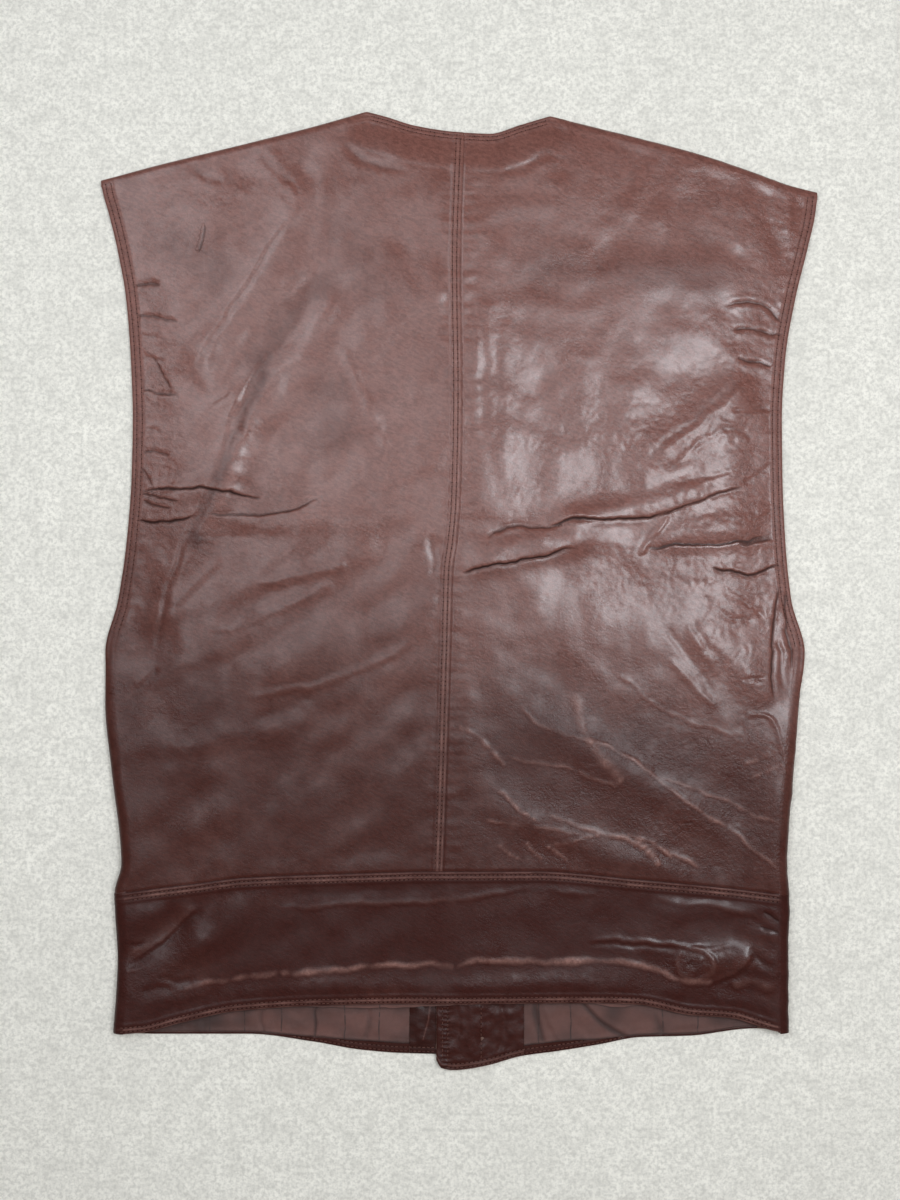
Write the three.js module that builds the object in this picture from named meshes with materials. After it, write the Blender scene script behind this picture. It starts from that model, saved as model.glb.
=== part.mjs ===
// A sleeveless leather vest laid out on its front on a level surface, with its back up.
// Millimetres. +X points to the wearer's right side, +Y to the neck and +Z up from the surface.
// The front panels lie flat on the surface, the back lies over them, and the leather turns over
// from one to the other along the side folds and the shoulders. The hem hangs open: the fronts reach
// lower than the back there, and their inside shows.

import * as THREE from "three";

// Driving dimensions
const LEATHER = 1.2; // wall of the leather panels
const THIN = 1.0; // wall of the lining and of the leather that faces the inside
const SEAM_GAP = 0.3; // between two pieces, at a seam or face to face
const EDGE_STRIP = 9; // along the side folds and armholes: the width of the fold, or of the stitched edge
const TOP_STRIP = 6; // the same along the shoulders and the neck
const LAP = 8; // seam allowance turned to one side and stitched down
const LAP_RISE = 0.6; // by which a lapped seam stands out
const EDGE_TURN_RISE = 0.4; // by which a turned and stitched edge stands out
const STEP = 1.5; // over which such relief falls away

const EDGE_RISE = 3.9; // top of the back at its armholes
const NECK_RISE = 4.5; // top of the back at the neck
const BACK_RISE = 7; // top of the back over its wide parts
const CENTRE_LOFT = 2.8; // more than that, over the overlap of the fronts
const CENTRE_X = -3; // middle of that overlap
const CENTRE_REACH = 62;
const SIDE_LOFT = 6; // more than that, along the side folds
const SIDE_REACH = 26;
const ARMHOLE_SLOPE = 45; // the back comes down to its armhole edge over this width
const NECK_SLOPE = 30;

const UNDERARM = { left: -34, right: -46 }; // where the armhole ends and the side fold begins
const FOLD_START = 34; // over which an open edge becomes a fold, at the underarm
const SHOULDER_START = 16; // and at the neck point
const LOFT_START = 130; // over which the side folds reach their full loft
const SIDE_SEAM_ANGLE = { left: -25, right: 78 }; // how far up round the fold the side seam lies, in degrees
const SHOULDER_SEAM_ANGLE = { left: -35, right: 80 };
const SIDE_SEAM_CLIMB = 90; // over which the seams climb to there
const SHOULDER_SEAM_CLIMB = 50;
const TURN_STEP = 24; // degrees of a fold's round in one flat facet
const BODY_ROWS = 26; // stations of the panels
const BACK_COLUMNS = 19;
const FRONT_COLUMNS = 11;
const FRONT_BAND_COLUMNS = 8;
const BAND_COLUMNS = 13;
const BAND_ROWS = 7;

const NECK_POINT = { left: -69, right: 68 };
const V_NECK_Y = 140; // lowest point of the front neckline
const WAIST_Y = { middle: -209, side: -226 }; // the waist seam
const NECK_MIDDLE_Y = 343;
const FRONT_EDGE = { left: 10, right: -17 }; // the fronts overlap between these two
const RIGHT_LIFT = LEATHER + SEAM_GAP + THIN + SEAM_GAP; // the right front edge lies over the left

const INSIDE_TOP = -232; // how far up the pieces inside the hem reach
const FACING_EDGE = { left: -37, right: 48.5 }; // where the facings end and the lining begins
const HEM_TURN = 7.5; // width of the turned hem inside the fronts
const HEM_LIP = 1.6; // and what the lining leaves of it to the sides
const FACING_INSET = 0.8; // by which a facing stays behind the edge
const INSIDE_END = { left: -236, right: 224 }; // how far to the sides the linings reach
const BACK_LINING = { left: -140, right: 136, depth: 16 };

// Columns of the fronts near their edges. On the right band and its facing they follow the round
// corner of the hem, and on both right pieces they follow the front as it comes down.
const PANEL_CLOSE = { left: [10, -20], right: [-17, 12, 25, 38] };
const BAND_CLOSE = { left: [10, -20, -37], right: [-17, -15.5, -13, -9, -4, 4, 12, 18, 25, 32, 38, 48.5] };

// Where the right front comes down from there to the surface
const LIFT = [
  { x: 12, share: 1 },
  { x: 18, share: 0.9 },
  { x: 25, share: 0.5 },
  { x: 32, share: 0.1 },
  { x: 38, share: 0 },
];

// The outline at each height: side folds below the underarms, armhole edges above them
const OUTLINE = [
  { y: -331, left: -258, right: 246 },
  { y: -277, left: -255, right: 246 },
  { y: -226, left: -257, right: 246.5 },
  { y: -204, left: -252, right: 245 },
  { y: -134, left: -259.5, right: 250 },
  { y: -82, left: -264.5, right: 254.5 },
  { y: -46, left: -264.5, right: 258.5 },
  { y: -7, left: -255, right: 248.5 },
  { y: 38, left: -248.5, right: 244 },
  { y: 83, left: -245, right: 242 },
  { y: 128, left: -244, right: 241.5 },
  { y: 173, left: -245.5, right: 244 },
  { y: 218, left: -249, right: 251.5 },
  { y: 255, left: -255.5, right: 260.5 },
  { y: 282, left: -262, right: 266.5 },
  { y: 298, left: -266.5, right: 268 },
  { y: 308, left: -268, right: 268 },
];

// The shoulders, from each neck point to its tip, and the back of the neck between them
const LEFT_SHOULDER = [
  { x: -268, y: 307 },
  { x: -225, y: 318 },
  { x: -180, y: 329 },
  { x: -112, y: 346 },
  { x: -69, y: 358 },
];
const NECK = [
  { x: -69, y: 358 },
  { x: -54, y: 354 },
  { x: -33, y: 347.5 },
  { x: 2, y: 342.5 },
  { x: 23, y: 341.5 },
  { x: 46, y: 348 },
  { x: 68, y: 354.5 },
];
const RIGHT_SHOULDER = [
  { x: 68, y: 354.5 },
  { x: 135, y: 338 },
  { x: 180, y: 326 },
  { x: 222, y: 312 },
  { x: 246, y: 303.5 },
  { x: 268, y: 298 },
];

// The seam down the middle of the back, which steps sideways at the waist
const CENTRE_SEAM = [
  { y: -209, x: -12 },
  { y: -157, x: -10 },
  { y: -37, x: -6.5 },
  { y: 15, x: -5 },
  { y: 38, x: -2 },
  { y: 70, x: 0.5 },
  { y: 147, x: 2 },
  { y: 240, x: 1 },
  { y: 343, x: 4 },
];

// The seam between the body and the waistband
const WAIST_SEAM = [
  { x: -258, y: -225.5 },
  { x: -199, y: -219 },
  { x: -159, y: -214 },
  { x: -81, y: -211 },
  { x: -14, y: -209 },
  { x: 56, y: -209 },
  { x: 135, y: -215.5 },
  { x: 194, y: -221 },
  { x: 247, y: -226.5 },
];

// The lower edge of the back, arched above the fronts
const BACK_HEM = [
  { x: -258, y: -330 },
  { x: -235, y: -329 },
  { x: -209, y: -323 },
  { x: -166, y: -314 },
  { x: -108, y: -310 },
  { x: -22, y: -308 },
  { x: 105, y: -308 },
  { x: 133, y: -309 },
  { x: 174, y: -317 },
  { x: 203, y: -319 },
  { x: 236, y: -327.5 },
  { x: 247, y: -328.5 },
];

// The lower edge of each front, from its side fold to its front edge
const LEFT_HEM = [
  { x: -258, y: -331 },
  { x: -225, y: -332 },
  { x: -158, y: -332 },
  { x: -108, y: -338 },
  { x: -73, y: -344 },
  { x: -40, y: -346.5 },
  { x: 10, y: -347.5 },
];
const RIGHT_HEM = [
  { x: -17, y: -351 },
  { x: -13, y: -357 },
  { x: -4, y: -358.5 },
  { x: 22, y: -355 },
  { x: 48, y: -348.5 },
  { x: 74, y: -345 },
  { x: 105, y: -340 },
  { x: 136, y: -334.5 },
  { x: 172, y: -333.5 },
  { x: 222, y: -328 },
  { x: 247, y: -329.5 },
];

// The largest folds of the back. Each runs from (x0, y0) to (x1, y1), bowed sideways by bow in its
// middle, stands rise above the leather beside it (below it, if negative) and fades over half each way.
const BACK_FOLDS = [
  { x0: -108, y0: 312, x1: -209, y1: 152, bow: 4, rise: 3.4, half: 13 },
  { x0: -104, y0: 240, x1: -228, y1: -34, bow: 9, rise: -2.6, half: 14 },
  { x0: -92, y0: 214, x1: -226, y1: -44, bow: -10, rise: 3.2, half: 13 },
  { x0: -236, y0: 66, x1: -146, y1: 76, bow: 5, rise: 1.8, half: 10 },
  { x0: -196, y0: 60, x1: -44, y1: 54, bow: -3, rise: 1.4, half: 11 },
  { x0: -2, y0: 17, x1: 110, y1: 40, bow: 3, rise: 3.0, half: 12 },
  { x0: 66, y0: 52, x1: 196, y1: 80, bow: -5, rise: 2.6, half: 11 },
  { x0: 138, y0: 38, x1: 236, y1: 46, bow: 3, rise: 1.8, half: 10 },
  { x0: 136, y0: 92, x1: 232, y1: 160, bow: 4, rise: 2.4, half: 14 },
  { x0: 34, y0: -86, x1: 234, y1: -206, bow: 6, rise: 1.6, half: 13 },
  { x0: 20, y0: -152, x1: 178, y1: -214, bow: -8, rise: 1.4, half: 12 },
  { x0: -238, y0: -120, x1: -60, y1: -36, bow: 8, rise: 1.6, half: 20 },
  { x0: 172, y0: -20, x1: 236, y1: -88, bow: 4, rise: 1.8, half: 14 },
  { x0: -150, y0: -291, x1: 150, y1: -284, bow: -9, rise: 1.4, half: 11 },
  { x0: 160, y0: -290, x1: 226, y1: -278, bow: 9, rise: 2.4, half: 12 },
  { x0: -254, y0: -282, x1: -198, y1: -244, bow: 5, rise: -2.8, half: 11 },
];
const FOLD_STEPS = 8; // straight pieces in which a bowed fold is measured
const FOLD_FADE = 0.22; // share of its length over which a fold fades at each end

const BROWN = { color: 0x5a3630, roughness: 0.42, metalness: 0 };
const DARK_BROWN = { color: 0x432522, roughness: 0.38, metalness: 0 };
const ROSE_BROWN = { color: 0x6b4d48, roughness: 0.7, metalness: 0 };

const mix = (a, b, share) => a + (b - a) * share;
const ease = (share) => {
  const inside = Math.min(Math.max(share, 0), 1);
  return inside * inside * (3 - 2 * inside);
};
const bell = (distance, reach) => Math.exp(-((distance / reach) ** 2));
const radians = THREE.MathUtils.degToRad;

// A smooth curve through a table's rows that never swings past them: its column `to` at any `from`
function through(table, from, to) {
  const at = table.map((row) => row[from]);
  const value = table.map((row) => row[to]);
  const last = at.length - 1;
  const grade = at.slice(1).map((a, i) => (value[i + 1] - value[i]) / (a - at[i]));
  const slope = at.map((a, i) => {
    if (i === 0 || i === last) return grade[Math.min(i, last - 1)];
    const before = grade[i - 1];
    const after = grade[i];
    return before * after <= 0 ? 0 : (2 * before * after) / (before + after);
  });
  return (wanted) => {
    const next = at.findIndex((a, i) => i > 0 && wanted <= a);
    const i = next < 0 ? last : next;
    const length = at[i] - at[i - 1];
    const k = Math.min(Math.max((wanted - at[i - 1]) / length, 0), 1);
    const bend = length * k * (1 - k);
    const lean = (1 - k) * (slope[i - 1] - grade[i - 1]) - k * (slope[i] - grade[i - 1]);
    return mix(value[i - 1], value[i], k) + bend * lean;
  };
}

const edgeAt = { left: through(OUTLINE, "y", "left"), right: through(OUTLINE, "y", "right") };
const shoulderEdge = { left: through(LEFT_SHOULDER, "x", "y"), right: through(RIGHT_SHOULDER, "x", "y") };
const neckEdge = through(NECK, "x", "y");
const seamAt = through(CENTRE_SEAM, "y", "x");
const waistAt = through(WAIST_SEAM, "x", "y");
const backHemAt = through(BACK_HEM, "x", "y");
const frontHemAt = { left: through(LEFT_HEM, "x", "y"), right: through(RIGHT_HEM, "x", "y") };

// The top edge of the back
function topAt(x) {
  if (x < NECK_POINT.left) return shoulderEdge.left(x);
  return x > NECK_POINT.right ? shoulderEdge.right(x) : neckEdge(x);
}
const TIP = { left: LEFT_SHOULDER[0], right: RIGHT_SHOULDER.at(-1) };

// How much a side edge is a fold, not an open edge, at height y; and the same along the top edge
const foldedAt = (side, y) => ease((UNDERARM[side] - y) / FOLD_START);
const pastNeck = (side, x) => Math.abs(x) - Math.abs(NECK_POINT[side]);
const shoulderAt = (side, x) => ease(pastNeck(side, x) / SHOULDER_START);

// The seams climb round the folds away from the underarms and from the neck
const sideSeamAngle = (side, y) => SIDE_SEAM_ANGLE[side] * ease((UNDERARM[side] - y) / SIDE_SEAM_CLIMB);
const shoulderSeamAngle = (side, x) => SHOULDER_SEAM_ANGLE[side] * ease(pastNeck(side, x) / SHOULDER_SEAM_CLIMB);

// What one fold adds at (x, y)
function foldRise(fold, x, y) {
  const along = new THREE.Vector2(fold.x1 - fold.x0, fold.y1 - fold.y0);
  const across = new THREE.Vector2(-along.y, along.x).normalize();
  const point = (share) => {
    const bow = 4 * fold.bow * share * (1 - share);
    return [fold.x0 + along.x * share + across.x * bow, fold.y0 + along.y * share + across.y * bow];
  };
  let nearest = Infinity;
  let share = 0;
  for (let i = 0; i < FOLD_STEPS; i++) {
    const [ax, ay] = point(i / FOLD_STEPS);
    const [bx, by] = point((i + 1) / FOLD_STEPS);
    const length2 = (bx - ax) ** 2 + (by - ay) ** 2;
    const k = Math.min(Math.max(((x - ax) * (bx - ax) + (y - ay) * (by - ay)) / length2, 0), 1);
    const distance = Math.hypot(x - mix(ax, bx, k), y - mix(ay, by, k));
    if (distance < nearest) {
      nearest = distance;
      share = (i + k) / FOLD_STEPS;
    }
  }
  const fade = ease(share / FOLD_FADE) * ease((1 - share) / FOLD_FADE);
  return fold.rise * bell(nearest, fold.half) * mix(0.15, 1, fade);
}

// Height of the back's outer face over (x, y), not counting the turn at a fold
function backRise(x, y) {
  const fromEdge = { left: x - edgeAt.left(y), right: edgeAt.right(y) - x };
  const side = fromEdge.left < fromEdge.right ? "left" : "right";
  const below = UNDERARM[side] - y;
  const sideLoft = SIDE_LOFT * ease(below / LOFT_START) * bell(fromEdge[side], SIDE_REACH);
  const centreLoft = CENTRE_LOFT * bell(x - CENTRE_X, CENTRE_REACH);
  const folds = BACK_FOLDS.reduce((sum, fold) => sum + foldRise(fold, x, y), 0);
  const atArmhole = mix(ease(fromEdge[side] / ARMHOLE_SLOPE), 1, ease(below / (2 * FOLD_START) + 0.2));
  const outward = mix(EDGE_RISE, BACK_RISE + centreLoft + sideLoft + folds, atArmhole);
  const atNeck = mix(ease((topAt(x) - y) / NECK_SLOPE), 1, shoulderAt(x < 0 ? "left" : "right", x));
  return mix(NECK_RISE, outward, atNeck);
}

// Half of a seam's gap as an angle round a fold that is `height` high and `width` deep
function gapAngle(angle, height, width) {
  const pace = Math.hypot(width * Math.sin(angle), (height / 2) * Math.cos(angle));
  return SEAM_GAP / 2 / pace;
}

// A point's way round a fold. turn runs from 0, where the panel leaves its flat, to 1, at the seam.
// inset is the distance from the outline, and lift the share of the fold's height.
function roundFold(turn, folded, seamAngle, height, width, up) {
  const seam = radians(seamAngle) + (up ? 1 : -1) * gapAngle(radians(seamAngle), height, width);
  const angle = mix(up ? Math.PI / 2 : -Math.PI / 2, seam, turn);
  return {
    inset: width * (1 - mix(turn, Math.cos(angle), folded)),
    lift: (1 + Math.sin(angle)) / 2,
  };
}

// How many facets a fold takes from the flat to its seam
const facets = (seamAngle, up) => Math.ceil((90 - (up ? 1 : -1) * seamAngle) / TURN_STEP) + 1;

// A surface between four edges, each a function of a share from 0 to 1 that gives [x, y]
function between(edges) {
  const corner = [edges.bottom(0), edges.bottom(1), edges.top(0), edges.top(1)];
  return (s, t) => {
    const [low, high, inner, outer] = [edges.bottom(s), edges.top(s), edges.inner(t), edges.outer(t)];
    return [0, 1].map((axis) => {
      const ruled = mix(low[axis], high[axis], t) + mix(inner[axis], outer[axis], s);
      const flat = mix(mix(corner[0][axis], corner[1][axis], s), mix(corner[2][axis], corner[3][axis], s), t);
      return ruled - flat;
    });
  };
}

// An edge whose points are spread evenly in x, or in y, on a curve
const evenInX = (x0, x1, curve, shift = 0) => (share) => {
  const x = mix(x0, x1, share);
  return [x, curve(x) + shift];
};
const evenInY = (y0, y1, curve, shift = 0) => (share) => {
  const y = mix(y0, y1, share);
  return [curve(y) + shift, y];
};

// Stations over the flat of a panel, in shares of it, and round the turn that follows. rise is how
// far the leather stands out there.
const station = (share, rise = 0, turn = 0) => ({ share, rise, turn });
const flatStations = (count, from = 0, to = 1) =>
  Array.from({ length: count + 1 }, (_, i) => station(mix(from, to, i / count)));
const turnStations = (count) =>
  Array.from({ length: count }, (_, i) => station(1, EDGE_TURN_RISE, (i + 1) / count));
const lapStations = (width) => [station(0, LAP_RISE), station(width, LAP_RISE)];

// Where a column and a row of stations cross on a panel that turns over at its side and at its top.
// level marks the points of a seam or hem that runs across, where the wall is cut square.
function place(panel, side, column, row) {
  const { plan, up, topStrip, topOf } = panel;
  const out = side === "left" ? -1 : 1;
  const outerShare = panel.twoSided ? (1 + out) / 2 : 1;
  const innerShare = panel.twoSided ? 0.5 : 0;
  const across = (share) => mix(innerShare, outerShare, share);
  const reach = plan(across(column.share), 1)[1] - plan(across(column.share), 0)[1];
  const t = row.turn ? 1 : row.share * (1 - topStrip / reach);
  const [edgeX, edgeY] = plan(outerShare, t);
  const span = Math.abs(edgeX - plan(innerShare, t)[0]);
  const folded = foldedAt(side, edgeY);
  const sideHeight = backRise(edgeX - out * EDGE_STRIP, edgeY);
  const round = roundFold(column.turn, folded, sideSeamAngle(side, edgeY), sideHeight, EDGE_STRIP, up);
  let [x, y] = plan(across(column.share * (1 - EDGE_STRIP / span)), t);
  if (column.turn) [x, y] = [edgeX - out * round.inset, edgeY];
  const shoulder = row.turn ? shoulderAt(side, x) : 0;
  const topHeight = row.turn ? backRise(x, topAt(x) - TOP_STRIP) : 0;
  const over = roundFold(row.turn, shoulder, shoulderSeamAngle(side, x), topHeight, TOP_STRIP, up);
  if (row.turn) y = topOf(x) - over.inset;
  let z = up ? backRise(x, y) : frontLift(side, x);
  if (column.turn) z = up ? mix(z, sideHeight * round.lift, folded) : z + sideHeight * round.lift * folded;
  if (row.turn) z = up ? mix(z, topHeight * over.lift, shoulder) : z + topHeight * over.lift * shoulder;
  const open = Math.max(column.turn ? 1 - folded : 0, row.turn ? 1 - shoulder : 0);
  const rise = column.turn || row.turn ? open * EDGE_TURN_RISE : Math.max(column.rise, row.rise);
  const level = !row.turn && (row.share === 0 || (row.share === 1 && topStrip === 0));
  return { point: new THREE.Vector3(x, y, z), rise: up ? rise : 0, level };
}

// A closed wall: outer face through the points, each raised by its rise, and an inner face behind it
function wall(name, look, rows, up, thickness) {
  const [height, width] = [rows.length, rows[0].length];
  const slope = (i, last, at) => {
    if (i > 0 && i < last) return at(i + 1).clone().sub(at(i - 1));
    const inward = i === 0 ? 1 : -1;
    const [end, next] = [at(i), at(i + inward)];
    if (last === 1) return next.clone().sub(end).multiplyScalar(inward);
    const curved = next.clone().multiplyScalar(4).addScaledVector(end, -3).sub(at(i + 2 * inward));
    return curved.multiplyScalar(inward);
  };
  const normalAt = (j, i) => {
    const alongRow = slope(i, width - 1, (k) => rows[j][k].point);
    const alongColumn = slope(j, height - 1, (k) => rows[k][i].point);
    const normal = alongRow.cross(alongColumn);
    if (rows[j][i].level) normal.y = 0;
    return normal.normalize();
  };
  const flip = normalAt(Math.floor(height / 2), Math.floor(width / 4)).z > 0 === up ? 1 : -1;
  const position = [];
  for (const face of ["outer", "inner"]) {
    for (let j = 0; j < height; j++) {
      for (let i = 0; i < width; i++) {
        const { point, rise } = rows[j][i];
        const out = face === "outer" ? rise || 0 : -thickness;
        position.push(...point.clone().addScaledVector(normalAt(j, i), flip * out).toArray());
      }
    }
  }
  const index = [];
  const quad = (a, b, c, d) => (flip > 0 ? index.push(a, b, c, a, c, d) : index.push(a, c, b, a, d, c));
  const outer = (j, i) => j * width + i;
  const inner = (j, i) => outer(j, i) + width * height;
  for (let j = 0; j + 1 < height; j++) {
    for (let i = 0; i + 1 < width; i++) {
      quad(outer(j, i), outer(j, i + 1), outer(j + 1, i + 1), outer(j + 1, i));
      quad(inner(j, i), inner(j + 1, i), inner(j + 1, i + 1), inner(j, i + 1));
    }
  }
  for (let i = 0; i + 1 < width; i++) {
    quad(inner(0, i), inner(0, i + 1), outer(0, i + 1), outer(0, i));
    quad(outer(height - 1, i), outer(height - 1, i + 1), inner(height - 1, i + 1), inner(height - 1, i));
  }
  for (let j = 0; j + 1 < height; j++) {
    quad(outer(j, 0), outer(j + 1, 0), inner(j + 1, 0), inner(j, 0));
    quad(inner(j, width - 1), inner(j + 1, width - 1), outer(j + 1, width - 1), outer(j, width - 1));
  }
  const geometry = new THREE.BufferGeometry();
  geometry.setAttribute("position", new THREE.Float32BufferAttribute(position, 3));
  geometry.setIndex(index);
  geometry.computeVertexNormals();
  const mesh = new THREE.Mesh(geometry, new THREE.MeshStandardMaterial(look));
  mesh.name = name;
  return mesh;
}

const sheet = (panel, side, columns, rows) =>
  rows.map((row) => columns.map((column) => place(panel, column.side || side, column, row)));

// The rows of a body panel, from the waist seam to the shoulder: the same on the back and the front,
// so that they meet point for point along the side fold
const bodyRows = (side, up) => [
  ...flatStations(BODY_ROWS),
  ...turnStations(facets(SHOULDER_SEAM_ANGLE[side], up)),
];

// One half of the back above the waistband
function backPanel(side) {
  const out = side === "left" ? -1 : 1;
  const gap = (out * SEAM_GAP) / 2;
  const waistX = seamAt(WAIST_Y.middle) + gap;
  const neckX = seamAt(NECK_MIDDLE_Y) + gap;
  const tip = TIP[side];
  const sideX = edgeAt[side](WAIST_Y.side);
  const plan = between({
    bottom: evenInX(waistX, sideX, waistAt, SEAM_GAP / 2),
    top: evenInX(neckX, tip.x, topAt),
    inner: evenInY(waistAt(waistX) + SEAM_GAP / 2, topAt(neckX), seamAt, gap),
    outer: evenInY(waistAt(sideX) + SEAM_GAP / 2, tip.y, edgeAt[side]),
  });
  const span = Math.abs(sideX - waistX);
  const lap = side === "left" ? lapStations(LAP / span) : [];
  const flat = flatStations(BACK_COLUMNS, side === "left" ? (LAP + STEP) / span : 0);
  const columns = [...lap, ...flat, ...turnStations(facets(SIDE_SEAM_ANGLE[side], true))];
  const panel = { plan, up: true, topStrip: TOP_STRIP, topOf: topAt };
  return wall("back_" + side, BROWN, sheet(panel, side, columns, bodyRows(side, true)), true, LEATHER);
}

// The back of the waistband, in one piece from side seam to side seam
function backBand() {
  const [leftX, rightX] = [edgeAt.left(WAIST_Y.side), edgeAt.right(WAIST_Y.side)];
  const [leftHem, rightHem] = [BACK_HEM[0], BACK_HEM.at(-1)];
  const plan = between({
    bottom: evenInX(leftHem.x, rightHem.x, backHemAt),
    top: evenInX(leftX, rightX, waistAt, -SEAM_GAP / 2),
    inner: evenInY(leftHem.y, waistAt(leftX) - SEAM_GAP / 2, edgeAt.left),
    outer: evenInY(rightHem.y, waistAt(rightX) - SEAM_GAP / 2, edgeAt.right),
  });
  const depth = waistAt(0) - backHemAt(0);
  const half = (side) =>
    [...flatStations(BAND_COLUMNS), ...turnStations(facets(SIDE_SEAM_ANGLE[side], true))].map((at) => ({
      ...at,
      rise: 0,
      side,
    }));
  const columns = [...half("left").slice(1).reverse(), ...half("right")];
  const rows = [
    ...[0, LAP / depth].map((share) => station(share, EDGE_TURN_RISE)),
    ...flatStations(6, (LAP + STEP) / depth, 1 - (LAP + STEP) / depth),
    ...[1 - LAP / depth, 1].map((share) => station(share, LAP_RISE)),
  ];
  const panel = { plan, up: true, topStrip: 0, twoSided: true };
  return wall("back_band", DARK_BROWN, sheet(panel, "left", columns, rows), true, LEATHER);
}

// How far a front is held off the surface at x
function frontLift(side, x) {
  if (side === "left" || x >= LIFT.at(-1).x) return 0;
  const next = LIFT.findIndex((row) => x <= row.x);
  if (next === 0) return RIGHT_LIFT;
  const [a, b] = [LIFT[next - 1], LIFT[next]];
  return RIGHT_LIFT * mix(a.share, b.share, (x - a.x) / (b.x - a.x));
}

// The columns of a front: the close ones near its front edge, then count even ones to its side
function frontColumns(side, close, count) {
  const frontX = FRONT_EDGE[side];
  const span = Math.abs(edgeAt[side](WAIST_Y.side) - frontX) - EDGE_STRIP;
  const from = Math.abs(close.at(-1) - frontX) / span;
  return [
    ...close.slice(0, -1).map((x) => station(Math.abs(x - frontX) / span)),
    ...flatStations(count, from),
    ...turnStations(facets(SIDE_SEAM_ANGLE[side], false)),
  ];
}

// One front above the waistband, flat on the surface, with a V neck
function frontPanel(side) {
  const frontX = FRONT_EDGE[side];
  const sideX = edgeAt[side](WAIST_Y.side);
  const tip = TIP[side];
  const neckX = NECK_POINT[side];
  const topOf = (x) => {
    const share = (x - frontX) / (neckX - frontX);
    return share < 1 ? mix(V_NECK_Y, topAt(neckX), share) : topAt(x);
  };
  const plan = between({
    bottom: evenInX(frontX, sideX, waistAt, SEAM_GAP / 2),
    top: evenInX(frontX, tip.x, topOf),
    inner: (share) => [frontX, mix(waistAt(frontX) + SEAM_GAP / 2, V_NECK_Y, share)],
    outer: evenInY(waistAt(sideX) + SEAM_GAP / 2, tip.y, edgeAt[side]),
  });
  const panel = { plan, up: false, topStrip: TOP_STRIP, topOf };
  const columns = frontColumns(side, PANEL_CLOSE[side], FRONT_COLUMNS);
  const points = sheet(panel, side, columns, bodyRows(side, false));
  return wall("front_" + side, BROWN, points, false, LEATHER);
}

// One front of the waistband
function frontBand(side) {
  const frontX = FRONT_EDGE[side];
  const sideX = edgeAt[side](WAIST_Y.side);
  const hem = side === "left" ? LEFT_HEM : RIGHT_HEM;
  const corner = hem.at(side === "left" ? 0 : -1);
  const plan = between({
    bottom: evenInX(frontX, corner.x, frontHemAt[side]),
    top: evenInX(frontX, sideX, waistAt, -SEAM_GAP / 2),
    inner: (share) => [frontX, mix(frontHemAt[side](frontX), waistAt(frontX) - SEAM_GAP / 2, share)],
    outer: evenInY(corner.y, waistAt(sideX) - SEAM_GAP / 2, edgeAt[side]),
  });
  const panel = { plan, up: false, topStrip: 0 };
  const columns = frontColumns(side, BAND_CLOSE[side], FRONT_BAND_COLUMNS);
  const points = sheet(panel, side, columns, flatStations(BAND_ROWS));
  return wall("front_band_" + side, DARK_BROWN, points, false, LEATHER);
}

// Width of the turned hem that shows inside a front: the lining covers all but a lip of it to the side
const hemTurnAt = (side, x) => mix(HEM_LIP, HEM_TURN, ease(side === "left" ? (x + 145) / 90 : (138 - x) / 75));

// A piece lying on the inside of a front waistband, through the given x and between two edges in y
function insidePiece(name, look, side, xs, lowAt, highAt, rowCount) {
  const rows = Array.from({ length: rowCount + 1 }, (_, j) =>
    xs.map((x) => {
      const z = frontLift(side, x) + LEATHER + SEAM_GAP + THIN;
      return { point: new THREE.Vector3(x, mix(lowAt(x), highAt(x), j / rowCount), z) };
    }),
  );
  return wall(name, look, rows, true, THIN);
}

// The facing, the turned hem and the lining that show inside one front
function frontInside(side) {
  const out = side === "left" ? -1 : 1;
  const hem = frontHemAt[side];
  const top = () => INSIDE_TOP;
  const spread = (x0, x1, count) => Array.from({ length: count + 1 }, (_, i) => mix(x0, x1, i / count));
  const facingX = side === "left" ? spread(FRONT_EDGE.left - FACING_INSET, FACING_EDGE.left, 5) : [...BAND_CLOSE.right];
  if (side === "right") facingX[0] += FACING_INSET;
  const liningX = spread(FACING_EDGE[side] + out * SEAM_GAP, INSIDE_END[side], 20);
  const turn = (x) => hem(x) + hemTurnAt(side, x);
  const low = (x) => turn(x) + SEAM_GAP;
  return [
    insidePiece("facing_" + side, DARK_BROWN, side, facingX, (x) => hem(x) + FACING_INSET, top, 6),
    insidePiece("hem_" + side, DARK_BROWN, side, liningX, (x) => hem(x) + SEAM_GAP, turn, 1),
    insidePiece("lining_" + side, ROSE_BROWN, side, liningX, low, top, 5),
  ];
}

// The strip of the back's lining that shows below the back hem
function backLining() {
  const xs = Array.from({ length: 27 }, (_, i) => mix(BACK_LINING.left, BACK_LINING.right, i / 26));
  const hang = (x) => 3 * (bell(x + 55, 50) + bell(x - 118, 14));
  const rows = [0, 0.5, 1].map((share) =>
    xs.map((x) => {
      const y = mix(backHemAt(x) - hang(x), backHemAt(x) + BACK_LINING.depth, share);
      return { point: new THREE.Vector3(x, y, backRise(x, y) - LEATHER - 2 * SEAM_GAP) };
    }),
  );
  return wall("lining_back", ROSE_BROWN, rows, true, THIN);
}

const vest = new THREE.Group();
for (const side of ["left", "right"]) {
  vest.add(backPanel(side), frontPanel(side), frontBand(side), ...frontInside(side));
}
vest.add(backBand(), backLining());

export default vest;
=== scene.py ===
import math

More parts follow.
